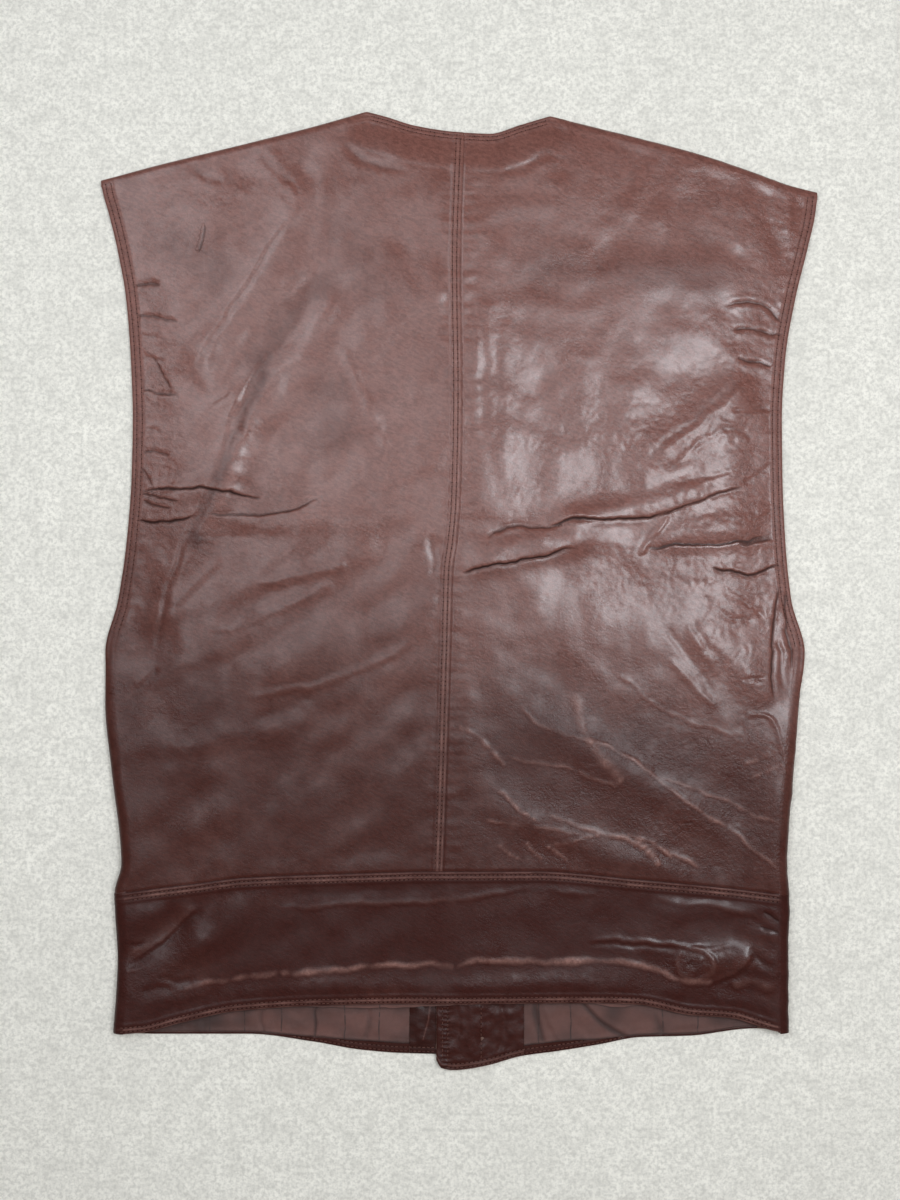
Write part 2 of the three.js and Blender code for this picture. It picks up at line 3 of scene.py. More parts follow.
import bmesh
import bpy
import numpy as np
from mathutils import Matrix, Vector


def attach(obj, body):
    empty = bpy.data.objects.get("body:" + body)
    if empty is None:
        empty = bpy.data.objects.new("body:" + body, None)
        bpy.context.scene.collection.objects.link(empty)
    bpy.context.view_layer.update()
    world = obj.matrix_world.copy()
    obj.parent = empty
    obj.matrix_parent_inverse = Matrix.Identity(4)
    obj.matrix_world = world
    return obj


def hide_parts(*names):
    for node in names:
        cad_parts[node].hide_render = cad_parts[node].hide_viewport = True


# A leather vest lying on its front, with its back up. The tables and sizes below are millimetres on
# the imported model's own axes: x to the wearer's right side, y to the neck and z up from the floor.
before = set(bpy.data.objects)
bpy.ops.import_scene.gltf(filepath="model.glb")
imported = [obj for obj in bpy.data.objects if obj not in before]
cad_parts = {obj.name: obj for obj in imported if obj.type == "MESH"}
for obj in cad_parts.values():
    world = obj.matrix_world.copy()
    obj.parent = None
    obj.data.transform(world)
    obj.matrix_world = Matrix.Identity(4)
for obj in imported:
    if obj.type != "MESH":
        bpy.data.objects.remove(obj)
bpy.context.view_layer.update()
MM = 0.001

# Walls, gaps and the widths of edges
LEATHER = 1.2
THIN = 1.0
INNER_WALL = 0.9
SEAM_GAP = 0.3
SEAM_SLIT = 0.02
EDGE_STRIP = 9.0
TOP_STRIP = 6.0
SEAM_CALM = 8.0

# Laps, turned edges and what their sewing draws up
LAP = 8.0
LAP_RISE = 0.6
EDGE_TURN_RISE = 0.4
EDGE_ROUND = 1.6
EDGE_ROUND_DROP = 0.9
LAP_SLOPE = 2.8
TURN_SLOPE = 1.6
SEAM_DIP = 0.5
WAIST_LIP = 0.25
PUCKER_DEPTH = 0.26
FACING_DENT = 0.16
CALM_SHARE = 0.35

# Stitches, and their rows in from each seam or edge
STITCH_GROOVE = 0.22
STITCH_PITCH = 3.3
STITCH_LENGTH = 2.3
STITCH_WIDTH = 0.58
STITCH_HOLE = 0.5
STITCH_SIDES = 6
STITCH_FLAT = 0.8
STITCH_SLANT = 0.16
STITCH_UNEVEN = (0.9, 1.06)
STITCH_STAND = 0.10
INSIDE_STITCH_STAND = 0.3
WAY_PACE = 1.5
SEWN_SEAM = (-206.0, 338.0)
SEWN_WAIST = (-246.0, 238.0)
SEWN_HEM = (-252.0, 232.0)
SEWN_NECK = {"left": (-66.0, 3.0), "right": (5.0, 65.0)}
SEWN_INSIDE = {"left": (-150.0, -17.0), "right": (-10.0, 222.0)}
SEWN_FRONT_SIDE = 236.0
PLACKET_MIDDLE = -10.4
PLACKET_HALF = 3.2
PLACKET_FOLD = 16.5
SEAM_ROWS = (2.8, 6.0)
ARMHOLE_ROWS = (3.2, 7.2)
NECK_ROWS = (2.6, 5.4)
HEM_ROWS = (1.9, 4.9)
PLACKET_ROWS = (-12.4, -8.4, PLACKET_FOLD)
# One stitch, ring by ring: place along it as a share of its length, width and height as shares of its width
STITCH_RINGS = (
    (-0.5, 0.30, -0.35),
    (-0.34, 0.85, 0.0),
    (0.0, 1.0, 0.08),
    (0.34, 0.85, 0.0),
    (0.5, 0.30, -0.35),
)

# Heights of the back above the floor
EDGE_RISE = 3.9
NECK_RISE = 4.5
BACK_RISE = 7.0
CENTRE_LOFT = 2.8
CENTRE_X = -3.0
CENTRE_REACH = 62.0
SIDE_LOFT = 6.0
SIDE_REACH = 26.0
ARMHOLE_SLOPE = 45.0
NECK_SLOPE = 30.0

SIDES = ("left", "right")
OUTWARD = {"left": -1, "right": 1}
UNDERARM = {"left": -34.0, "right": -46.0}
FOLD_START = 34.0
SHOULDER_START = 16.0
LOFT_START = 130.0
SIDE_SEAM_ANGLE = {"left": -25.0, "right": 78.0}
SHOULDER_SEAM_ANGLE = {"left": -35.0, "right": 80.0}
SIDE_SEAM_CLIMB = 90.0
SHOULDER_SEAM_CLIMB = 50.0
NECK_POINT = {"left": -69.0, "right": 68.0}
V_NECK_Y = 140.0
NECK_Y = 343.0
WAIST_Y = {"middle": -209.0, "side": -226.0}
FRONT_EDGE = {"left": 10.0, "right": -17.0}
RIGHT_LIFT = LEATHER + SEAM_GAP + THIN + SEAM_GAP
INSIDE_TOP = -232.0
FACING_EDGE = {"left": -37.0, "right": 48.5}
HEM_TURN = 7.5
HEM_LIP = 1.6
FACING_INSET = 0.15
FACING_ROUND = 1.2
FACING_ROUND_DROP = 0.6
FACING_CRUMPLED = 0.35
INSIDE_END = {"left": -236.0, "right": 224.0}
BACK_LINING = {"left": -140.0, "right": 136.0, "depth": 16.0, "columns": 190, "rows": 14}

# Outline: y, x of the left edge, x of the right edge
OUTLINE = (
    (-331, -258, 246),
    (-277, -255, 246),
    (-226, -257, 246.5),
    (-204, -252, 245),
    (-134, -259.5, 250),
    (-82, -264.5, 254.5),
    (-46, -264.5, 258.5),
    (-7, -255, 248.5),
    (38, -248.5, 244),
    (83, -245, 242),
    (128, -244, 241.5),
    (173, -245.5, 244),
    (218, -249, 251.5),
    (255, -255.5, 260.5),
    (282, -262, 266.5),
    (298, -266.5, 268),
    (308, -268, 268),
)

# Edges and seams that run across: x, y
LEFT_SHOULDER = ((-268, 307), (-225, 318), (-180, 329), (-112, 346), (-69, 358))
NECK = ((-69, 358), (-54, 354), (-33, 347.5), (2, 342.5), (23, 341.5), (46, 348), (68, 354.5))
RIGHT_SHOULDER = ((68, 354.5), (135, 338), (180, 326), (222, 312), (246, 303.5), (268, 298))
WAIST_SEAM = (
    (-258, -225.5),
    (-199, -219),
    (-159, -214),
    (-81, -211),
    (-14, -209),
    (56, -209),
    (135, -215.5),
    (194, -221),
    (247, -226.5),
)
BACK_HEM = (
    (-258, -330),
    (-235, -329),
    (-209, -323),
    (-166, -314),
    (-108, -310),
    (-22, -308),
    (105, -308),
    (133, -309),
    (174, -317),
    (203, -319),
    (236, -327.5),
    (247, -328.5),
)
LEFT_HEM = ((-258, -331), (-225, -332), (-158, -332), (-108, -338), (-73, -344), (-40, -346.5), (10, -347.5))
RIGHT_HEM = (
    (-17, -351),
    (-13, -357),
    (-4, -358.5),
    (22, -355),
    (48, -348.5),
    (74, -345),
    (105, -340),
    (136, -334.5),
    (172, -333.5),
    (222, -328),
    (247, -329.5),
)

# The middle seam of the back: y, x
CENTRE_SEAM = (
    (-209, -12),
    (-157, -10),
    (-37, -6.5),
    (15, -5),
    (38, -2),
    (70, 0.5),
    (147, 2),
    (240, 1),
    (343, 4),
)

# How the right front comes down from over the left one: x, share of its lift
LIFT = ((-300, 1), (12, 1), (18, 0.9), (25, 0.5), (32, 0.1), (38, 0), (300, 0))

# The largest folds, which the solids have too: from x, y to x, y, bow, rise, half width
BACK_FOLDS = (
    (-108, 312, -209, 152, 4, 3.4, 13),
    (-104, 240, -228, -34, 9, -2.6, 14),
    (-92, 214, -226, -44, -10, 3.2, 13),
    (-236, 66, -146, 76, 5, 1.8, 10),
    (-196, 60, -44, 54, -3, 1.4, 11),
    (-2, 17, 110, 40, 3, 3.0, 12),
    (66, 52, 196, 80, -5, 2.6, 11),
    (138, 38, 236, 46, 3, 1.8, 10),
    (136, 92, 232, 160, 4, 2.4, 14),
    (34, -86, 234, -206, 6, 1.6, 13),
    (20, -152, 178, -214, -8, 1.4, 12),
    (-238, -120, -60, -36, 8, 1.6, 20),
    (172, -20, 236, -88, 4, 1.8, 14),
    (-150, -291, 150, -284, -9, 1.4, 11),
    (160, -290, 226, -278, 9, 2.4, 12),
    (-254, -282, -198, -244, 5, -2.8, 11),
)
FOLD_STEPS = 8
FOLD_FADE = 0.22

# Creases of the back: depth, side of its lip (1 left, -1 right, 0 both), half width, way
CREASES = (
    (1.5, 1, 1.5, ((-238, 73), (-221, 76), (-208, 77), (-188, 75), (-172, 74), (-159, 71), (-146, 69))),
    (0.9, 1, 1.4, ((-238, 71), (-228, 70), (-218, 69), (-209, 67))),
    (0.8, 1, 1.4, ((-237, 66), (-225, 63), (-214, 61))),
    (1.3, 1, 1.5, ((-241, 52), (-228, 51), (-216, 51), (-206, 53), (-196, 57))),
    (0.8, -1, 2.4, ((-192, 57), (-176, 57), (-159, 56), (-143, 56), (-126, 59), (-115, 64), (-102, 70))),
    (0.4, -1, 2.0, ((-208, 41), (-192, 40), (-176, 39), (-152, 38))),
    (0.8, -1, 4.2, ((-157, 152), (-167, 128), (-175, 107), (-182, 86), (-190, 68))),
    (0.9, -1, 2.8, ((-186, 76), (-196, 56), (-207, 34), (-213, 16), (-219, 0), (-223, -26), (-228, -50))),
    (0.5, -1, 1.8, ((-178, 82), (-186, 66), (-195, 54))),
    (0.5, -1, 1.8, ((-141, 178), (-150, 166), (-158, 154), (-164, 143), (-171, 128), (-178, 106))),
    (0.6, -1, 2.8, ((-129, 276), (-144, 252), (-161, 226), (-178, 199), (-188, 180), (-198, 166))),
    (0.4, -1, 5.0, ((-104, 237), (-121, 226), (-134, 214), (-144, 199), (-155, 184))),
    (-0.5, 0, 5.0, ((-123, 182), (-136, 164), (-146, 146), (-155, 126), (-162, 108), (-177, 88))),
    (-0.5, 0, 4.0, ((-183, 65), (-193, 47), (-202, 30), (-210, 7), (-221, -25))),
    (-0.6, 0, 5.5, ((-128, 240), (-140, 222), (-152, 204), (-166, 184), (-178, 166), (-190, 148))),
    (0.4, 0, 1.6, ((-168, 146), (-176, 141), (-186, 137))),
    (0.6, 0, 1.6, ((-236, 104), (-225, 103), (-216, 101))),
    (0.6, 1, 1.6, ((-238, 92), (-233, 86), (-228, 78))),
    (0.5, 0, 1.6, ((-238, 118), (-230, 121), (-222, 117))),
    (0.7, -1, 1.8, ((-238, 149), (-231, 151), (-223, 146), (-210, 147))),
    (0.6, 1, 1.8, ((-229, 175), (-222, 162), (-215, 149))),
    (0.5, 0, 1.6, ((-238, 176), (-230, 174), (-220, 171))),
    (0.6, 0, 1.8, ((-240, 206), (-226, 204), (-208, 200))),
    (0.7, 0, 1.8, ((-241, 228), (-232, 230), (-223, 227))),
    (0.4, 0, 1.6, ((-240, 190), (-232, 188), (-226, 190))),
    (0.6, 0, 3.0, ((-203, 319), (-191, 311), (-176, 306))),
    (0.5, 0, 3.0, ((-148, 326), (-139, 316), (-124, 303))),
    (0.6, 0, 3.4, ((-86, 333), (-73, 321), (-56, 316), (-37, 312))),
    (0.5, 0, 3.4, ((34, 312), (46, 315), (60, 322), (72, 326))),
    (0.4, -1, 2.0, ((-128, 307), (-122, 300), (-118, 294))),
    (0.5, 0, 5.0, ((-240, -12), (-230, 1), (-219, 11))),
    (1.6, 1, 1.6, ((2, 13), (16, 16), (32, 19), (52, 23), (68, 28), (88, 31))),
    (0.7, -1, 2.2, ((22, 40), (34, 47), (46, 48), (60, 46), (74, 48))),
    (1.4, 1, 1.6, ((66, 47), (75, 51), (87, 54), (106, 54), (118, 54), (133, 55), (146, 56), (155, 59))),
    (0.9, 1, 2.0, ((150, 56), (158, 58), (170, 63), (185, 69), (201, 73), (212, 78))),
    (-0.9, 0, 1.8, ((134, 25), (142, 36), (149, 46), (157, 57))),
    (1.1, -1, 1.4, ((139, 32), (159, 33), (179, 34), (198, 35), (216, 37), (234, 42))),
    (0.8, -1, 1.4, ((210, 34), (219, 36), (234, 38))),
    (1.1, 1, 1.5, ((188, 17), (196, 14), (205, 13), (219, 12), (230, 15), (239, 20))),
    (0.5, 1, 1.6, ((202, 51), (219, 54), (230, 57), (236, 61))),
    (0.4, 1, 1.8, ((210, 81), (224, 86), (234, 98))),
    (0.7, -1, 4.2, ((140, 95), (156, 111), (172, 123), (188, 135), (206, 152), (222, 163))),
    (0.6, -1, 3.0, ((164, 94), (179, 109), (192, 117), (205, 119), (220, 114))),
    (0.5, -1, 2.6, ((158, 78), (176, 80), (190, 86), (213, 91))),
    (0.6, 0, 1.6, ((204, 195), (223, 195), (242, 190))),
    (0.6, 0, 1.6, ((198, 212), (214, 216), (230, 213), (237, 207), (241, 200))),
    (0.7, 0, 1.6, ((208, 173), (223, 171), (234, 166))),
    (0.5, 0, 1.6, ((202, 136), (218, 134), (237, 136))),
    (0.9, -1, 2.0, ((238, 4), (236, -18), (234, -38), (233, -61), (236, -82))),
    (0.7, 0, 1.8, ((244, 0), (244, -22), (247, -41), (249, -58))),
    (0.5, 0, 1.6, ((239, -36), (240, -55), (242, -74))),
    (0.5, -1, 4.0, ((152, -28), (165, -44), (179, -62), (190, -82))),
    (0.4, -1, 3.2, ((172, -22), (184, -41), (194, -56))),
    (-0.6, 0, 3.0, ((157, -50), (166, -62), (175, -71), (184, -80), (194, -89))),
    (-0.4, 0, 3.0, ((170, -28), (185, -51), (194, -62))),
    (0.4, 0, 2.0, ((196, 0), (210, -6), (224, -16), (230, -26))),
    (0.4, 0, 2.0, ((192, -14), (206, -22), (220, -22), (228, -12))),
    (0.5, 0, 1.4, ((210, -68), (220, -67), (231, -67))),
    (-0.8, 0, 1.4, ((214, -92), (224, -92), (235, -97), (239, -116), (246, -130))),
    (0.5, 0, 2.6, ((-224, -58), (-236, -72), (-243, -92))),
    (-0.7, 0, 3.2, ((-158, -81), (-130, -74), (-107, -72), (-86, -64), (-67, -56), (-50, -48), (-24, -30))),
    (0.6, 1, 5.0, ((-108, -82), (-132, -93), (-153, -102))),
    (0.5, 0, 3.0, ((-22, 42), (-18, 26), (-20, 8))),
    (-0.6, 0, 1.4, ((-16, -98), (-12, -98), (-8, -98))),
    (1.2, -1, 2.8, ((-193, -236), (-202, -246), (-215, -257), (-232, -272), (-249, -281))),
    (-0.6, 0, 1.6, ((-250, -284), (-243, -282), (-233, -280))),
    (-0.5, 0, 1.6, ((-244, -272), (-238, -268), (-232, -264))),
    (-0.6, 0, 2.0, ((-134, -237), (-115, -236), (-81, -233), (-31, -232), (-3, -230),
     (22, -226), (47, -222), (66, -223))),
    (-0.5, 0, 2.0, ((64, -221), (82, -226), (104, -226))),
    (0.5, 0, 4.0, ((-124, -226), (-81, -224), (-31, -222), (0, -219))),
    (0.5, 0, 1.8, ((97, -263), (123, -264), (148, -266), (164, -268))),
    (-0.6, 0, 1.6, ((95, -260), (123, -261), (148, -262), (164, -265), (193, -267), (212, -264))),
    (-0.6, 0, 3.0, ((146, -227), (164, -234), (181, -232), (206, -237), (233, -246))),
    (0.6, 0, 1.8, ((226, -239), (234, -242), (240, -246))),
    (0.6, 0, 1.8, ((224, -250), (232, -252), (240, -256))),
    (-0.9, 0, 2.2, ((172, -267), (186, -269), (190, -277), (186, -287), (177, -291))),
    (-0.7, 0, 2.2, ((168, -268), (162, -276), (165, -285), (177, -291))),
    (0.7, 0, 3.0, ((171, -276), (177, -281))),
    (0.9, 1, 2.6, ((188, -293), (203, -289), (214, -280), (220, -268))),
    (0.5, 0, 2.2, ((-236, -300), (-226, -296), (-214, -298))),
    (0.5, 0, 2.0, ((-222, -288), (-210, -292), (-196, -290))),
    (0.5, 0, 2.0, ((-248, -262), (-240, -266), (-232, -262))),
    (-1.0, 0, 4.0, ((203, -297), (214, -289), (226, -294), (236, -296))),
    (0.7, 0, 2.6, ((216, -266), (222, -274), (236, -284))),
)

# Pressed lines on which the finish has worn light: height, half width, way
VEINS = (
    (0.5, 1.2, ((46, -87), (60, -100), (77, -106), (98, -112), (113, -117), (130, -126), (144, -136))),
    (0.5, 1.2, ((140, -133), (155, -146), (168, -156), (184, -168), (199, -176),
     (210, -185), (222, -196), (237, -206))),
    (0.4, 1.2, ((150, -139), (168, -145), (184, -150), (198, -157), (215, -164), (227, -170), (244, -175))),
    (0.6, 1.2, ((28, -149), (37, -156), (48, -164), (58, -171))),
    (0.5, 1.2, ((62, -166), (79, -171), (92, -177), (106, -180), (120, -184),
     (134, -189), (146, -192), (158, -195), (168, -200), (180, -207))),
    (0.5, 1.2, ((126, -183), (142, -185), (149, -192), (160, -199))),
    (0.7, 2.4, ((132, -185), (141, -195), (150, -206))),
    (0.5, 1.4, ((49, -188), (55, -195), (62, -201))),
    (0.4, 1.4, ((66, -190), (73, -196), (81, -202))),
    (0.3, 1.4, ((28, -190), (36, -195), (45, -200))),
    (0.4, 1.4, ((0, -102), (12, -105), (22, -115), (34, -132))),
    (0.3, 1.2, ((16, -170), (46, -175), (72, -178), (96, -181), (127, -185))),
    (0.3, 1.2, ((64, -191), (90, -185), (106, -181))),
    (0.4, 3.4, ((86, -76), (92, -102), (99, -115), (110, -130), (122, -144))),
    (0.3, 1.2, ((38, -125), (64, -130), (92, -136), (118, -146))),
    (0.3, 1.2, ((120, -62), (136, -76), (152, -90))),
    (0.3, 1.2, ((154, -90), (178, -100), (206, -108))),
    (0.3, 1.4, ((212, -130), (226, -124), (240, -118))),
    (0.3, 1.4, ((216, -142), (228, -134), (242, -128))),
    (0.6, 2.0, ((-135, -286), (-122, -284), (-88, -283), (-65, -280), (-31, -278), (-3, -279))),
    (0.6, 2.0, ((-3, -279), (14, -275), (47, -276), (81, -277), (97, -276),
     (131, -277), (148, -283), (161, -289), (178, -292), (190, -291))),
    (0.3, 2.0, ((-205, -296), (-180, -291), (-158, -288), (-135, -286))),
)

# Broad soft swells and hollows of the back: from x, y to x, y, rise, half width
SWELLS = (
    (-112, 306, -204, 158, -1.7, 13),
    (-171, -29, -97, 2, 0.8, 4),
    (-211, -8, -181, 20, 0.8, 3.5),
    (-143, 5, -88, 18, 0.7, 4),
    (-211, -116, -118, -97, 0.9, 8),
    (-211, -137, -177, -135, 0.6, 8),
    (-85, 177, -56, 112, 0.6, 4),
    (-98, 212, -160, 126, 1.5, 9),
    (-160, 126, -196, 60, 0.6, 7),
    (-238, 262, -190, 240, 0.5, 14),
    (-206, 292, -186, 270, 0.5, 9),
    (-142, 322, -116, 300, 0.6, 8),
    (-108, 318, -100, 290, 0.5, 7),
    (-60, 290, -40, 170, 0.8, 26),
    (-70, 160, -30, 70, 0.8, 20),
    (-100, 90, -60, 96, 0.5, 16),
    (-164, 50, -120, 48, 0.7, 8),
    (-150, 20, -60, 62, 0.5, 12),
    (-196, -30, -110, -8, 0.7, 11),
    (-130, 8, -70, 30, 0.6, 9),
    (-245, -119, -132, -108, 0.9, 10),
    (-240, -166, -160, -130, 0.5, 12),
    (-90, -150, -60, -190, -0.7, 24),
    (-60, 6, -30, 44, 0.5, 12),
    (213, 308, 205, 262, 0.9, 8),
    (248, 294, 246, 270, 0.8, 4),
    (170, 318, 150, 276, 0.7, 8),
    (144, 316, 129, 284, 0.6, 7),
    (112, 325, 106, 300, 0.5, 8),
    (82, 332, 92, 318, 0.6, 9),
    (62, 316, 68, 306, 0.5, 6),
    (226, 290, 240, 246, -0.7, 7),
    (104, 232, 140, 240, 0.4, 16),
    (14, 214, 12, 120, 0.4, 4),
    (22, 210, 24, 118, 0.4, 4),
    (36, 196, 34, 90, 0.5, 7),
    (58, 184, 94, 172, 0.8, 11),
    (160, 190, 206, 176, 0.6, 11),
    (128, 150, 190, 196, 0.5, 10),
    (80, 96, 124, 120, 0.9, 15),
    (140, 84, 214, 132, 0.8, 9),
    (186, 96, 232, 104, 0.7, 10),
    (178, 54, 226, 60, 0.8, 10),
    (130, 22, 190, 10, 0.6, 9),
    (90, 38, 130, 34, 0.9, 8),
    (20, 62, 60, 66, 0.5, 10),
    (8, 34, 60, 40, 0.7, 7),
    (60, -6, 140, -22, 0.6, 14),
    (26, -60, 70, -110, 0.4, 16),
    (196, -10, 222, -44, 0.6, 11),
    (230, -150, 244, -190, 0.7, 12),
    (150, -208, 176, -214, 0.4, 8),
    (-230, -240, -200, -256, 0.6, 9),
    (-244, -300, -190, -262, 1.4, 8),
    (-232, -306, -196, -300, 1.0, 6),
    (-180, -262, -100, -266, -0.6, 12),
    (-170, -300, -60, -296, 0.8, 7),
    (-40, -296, 90, -294, 0.7, 7),
    (80, -248, 140, -246, -0.5, 9),
    (212, -250, 236, -258, 1.1, 6),
    (150, -240, 236, -236, 0.9, 7),
    (100, -298, 160, -300, 0.9, 7),
    (196, -306, 234, -312, 1.1, 6),
    (-246, -246, -222, -236, 0.9, 6),
    (-220, -20, -120, 14, 1.0, 9),
    (-236, -70, -160, -34, 1.0, 10),
    (-160, -60, -90, -30, 0.8, 9),
    (-226, 20, -206, -40, 0.8, 7),
)

# Patches broken into fine wrinkles: middle x, y, reach x, y, strength
CRUMPLED = (
    (-222, 66, 40, 40, 0.9),
    (-226, 170, 22, 90, 0.7),
    (-206, 20, 40, 60, 0.6),
    (-225, -92, 30, 26, 0.9),
    (-120, 44, 70, 30, 0.4),
    (-200, 270, 50, 40, 0.5),
    (-130, 310, 60, 24, 0.5),
    (110, 110, 60, 40, 0.6),
    (200, 60, 46, 50, 1.0),
    (180, 120, 60, 50, 0.7),
    (150, 12, 70, 26, 0.9),
    (214, -20, 34, 60, 1.0),
    (220, 180, 30, 60, 0.6),
    (180, 296, 70, 34, 0.5),
    (240, 250, 20, 50, 0.7),
    (232, -150, 22, 50, 1.0),
    (140, -120, 90, 70, 0.5),
    (80, -180, 90, 30, 0.4),
    (190, -190, 50, 30, 0.6),
    (30, 130, 26, 90, 0.4),
    (190, -282, 60, 24, 0.9),
    (-228, -280, 36, 40, 0.8),
    (-130, -296, 70, 10, 0.6),
    (60, -296, 120, 10, 0.5),
)

# Fine creases: how far off a sharp line shows, which creases are sharp, and one thin dark tick with its
# reach and depth. Shade is painted dark along the sharp lines.
LINE_REACH = 4.0
SHARP_DEPTH = 0.58
SHARP_HALF = 2.5
DARK_TICK_REACH = 3.0
DARK_TICK_DEPTH = 0.5
DARK_TICK = ((-189.5, 270.5), (-191.0, 262.0), (-193.4, 254.5))

# The form of creases: their lips and steep sides, and how much all of them waver
WRINKLE_DEPTH = 0.26
LIP_OFF = 2.2
LIP_HALF = 1.5
LIP_HEIGHT = 0.3
STEEP_LIP = 0.7
STEEP_TROUGH = 0.5
SWELL_SHARE = 0.8
WAVER = (1.6, 0.6)
WAVER_PITCH = (17.0, 6.0)
DEEPEST = 1.2
LINE_HALF = 2.4
FOLD_FOOT = 0.15
CORNER_CUTS = 2

# The leather pales from a line across the back upwards: where it starts, how far it takes, how it leans
FADE_START = -215.0
FADE_REACH = 330.0
FADE_LEAN = 0.3
MOST_FADE = 1.6

# Polished patches of the waistband, painted paler as sheen: middle x, y, reach x, y, strength
BAND_POLISH_AND_SHEEN = (
    (-200, -287, 24, 15, 0.8),
    (-219, -250, 20, 12, 0.4),
    (-59, -301, 26, 8, 0.9),
    (-92, -288, 34, 6, 0.5),
    (214, -268, 26, 15, 0.9),
    (180, -280, 20, 10, 0.8),
    (232, -295, 12, 12, 0.6),
    (150, -257, 30, 10, 0.4),
    (-150, -231, 60, 7, 0.35),
    (30, -231, 70, 6, 0.35),
    (60, -287, 60, 5, 0.4),
)

# Streaks of the back that are polished more, or less, than what lies beside them, and painted paler as sheen
# where more, darker as shade where less: from x, y to x, y, strength, half width
STREAKS = (
    (-126, 274, -188, 172, 0.7, 9),
    (-106, 198, -160, 104, 0.7, 9),
    (-160, 104, -190, 48, 0.5, 6),
    (-104, 228, -150, 168, -0.4, 10),
    (-146, 158, -196, 38, -0.55, 6),
    (-98, 150, -92, 110, -0.3, 16),
    (-214, 262, -176, 236, -0.3, 16),
    (-52, 172, -22, 60, 0.35, 16),
    (-110, 60, -84, 96, 0.3, 12),
    (-84, 262, -64, 226, -0.25, 18),
    (60, 240, 190, 232, -0.3, 16),
    (190, 150, 236, 176, 0.3, 12),
    (64, -112, 200, -142, -0.36, 60),
)

# Creases of the fronts, on the underside: depth, half width, way on the left front
FRONT_CREASES = (
    (0.7, 2.6, ((-236, 60), (-214, 66), (-190, 62), (-168, 70))),
    (0.6, 2.2, ((-238, 40), (-222, 36), (-204, 42))),
    (0.7, 3.2, ((-150, 190), (-166, 150), (-176, 110), (-196, 66))),
    (0.6, 3.0, ((-206, 280), (-180, 240), (-162, 196))),
    (0.5, 2.6, ((-232, 130), (-214, 126), (-196, 132))),
    (0.5, 3.0, ((-60, 60), (-96, 40), (-130, 34), (-160, 40))),
    (0.6, 3.4, ((-220, -30), (-184, -44), (-150, -70), (-124, -104))),
    (0.5, 2.4, ((-226, -60), (-200, -84), (-184, -116))),
    (0.5, 3.0, ((-40, -60), (-70, -84), (-104, -92))),
    (0.4, 2.4, ((-60, -150), (-96, -164), (-140, -160), (-170, -172))),
    (0.5, 2.6, ((-214, -180), (-190, -196), (-160, -198))),
    (0.4, 2.2, ((-120, 300), (-112, 282), (-98, 262))),
)
FRONT_CREASE_SHIFT = {"left": (0.0, 0.0), "right": (6.0, -14.0)}

# Creases of the facings and linings: depth, half width, and their way
INSIDE_CREASES = (
    (1.0, 0.9, ((-101, -305), (-109, -314), (-107, -322), (-108, -334))),
    (1.1, 1.9, ((88, -304), (95, -312), (108, -326), (124, -334))),
    (-1.0, 3.4, ((62, -300), (66, -318), (74, -334))),
    (0.9, 2.4, ((56, -300), (57, -318), (62, -336))),
    (0.4, 2.0, ((-72, -306), (-66, -320), (-70, -334))),
    (0.4, 2.0, ((150, -306), (146, -318), (152, -330))),
    (0.5, 1.8, ((-142, -308), (-150, -318), (-146, -330))),
    (0.4, 1.6, ((-4, -306), (2, -322), (-2, -340))),
    (0.4, 2.0, ((30, -306), (36, -324), (30, -344))),
)
# The way of the painted highlight on the left facing.
LEFT_FACING_HIGHLIGHT = ((-21.0, -306.0), (-23.0, -322.0), (-27.0, -336.0))

# Lengths that the rows of each panel's mesh are spaced over, and its steps round a fold
LONG = {"back": 560.0, "back_band": 99.0, "front": 534.0, "front_band": 130.0}
INSIDE_LONG = {"facing": 115.0, "hem": 7.2, "lining": 105.0}
FOLD_COLUMNS = {"back": 16, "band": 14, "front": 14}
FOLD_ROWS = {"back": 12, "front": 10}

# Steps of the mesh beside its seams, hems and folds, and its paces elsewhere
BACK_END = (0.7, 1.5)
FRONT_END = (0.8, 2.0)
FRONT_BAND_START = (0.5, 1, 2, 3, 4, 6, 8)
FRONT_BAND_PACE = 2.4
TURNED_HEM_STEPS = (1.0, 2.0, 3.0, 4.0, 5.0, 6.0)
LINING_STEPS = (0.6, 1.2, 2.0)
SEAM_STEPS = (0.5, 1.0, 1.6, 2.2, 2.8, 3.4, 4.0, 4.7, 5.4, 6.0, 6.6, 7.3, 8.0, 8.8, 9.6, 10.6)
HEM_STEPS = (0.4, 0.8, 1.2, 1.6, 1.9, 2.3, 2.8, 3.5, 4.2, 4.9, 5.4, 6.0, 6.8, 7.6, 8.4, 9.2, 10.2)
BACK_PACE = 1.3
BAND_PACE = 1.3
FRONT_PACE = 4.0
INSIDE_PACE = 0.9
FACING_PACE = 0.8

# Pinstripes of the lining: x, y of its low end, y of its high end
STRIPES = (
    (-186.8, -345, -250),
    (-160.5, -345, -250),
    (-132.8, -330, -250),
    (-85.5, -345, -250),
    (-59.6, -345, -250),
    (59.6, -345, -250),
    (83.6, -336, -250),
    (152.6, -345, -250),
    (179.0, -345, -250),
)

# Colours, as linear red, green and blue
BROWN = (0.060, 0.0165, 0.0120)
BROWN_PALED = (0.200, 0.082, 0.066)
BROWN_DARK = (0.014, 0.005, 0.004)
BROWN_WORN = (0.240, 0.120, 0.100)
BAND_BROWN = (0.043, 0.0108, 0.0084)
FACING_BROWN = (0.042, 0.0105, 0.0078)
THREAD = (0.150, 0.062, 0.047)
FLESH_SIDE = (0.170, 0.105, 0.080)
LINING_ROSE = (0.108, 0.043, 0.034)
LINING_STRIPE_AND_SHADE = (0.026, 0.011, 0.009)
FLOOR_PALE = (0.777, 0.757, 0.694)
SKY = (1.0, 0.99, 0.97)
SKY_STRENGTH = 0.10
DAYLIGHT = (0.90, 0.95, 1.0)
WARM_LIGHT = (1.0, 0.975, 0.945)

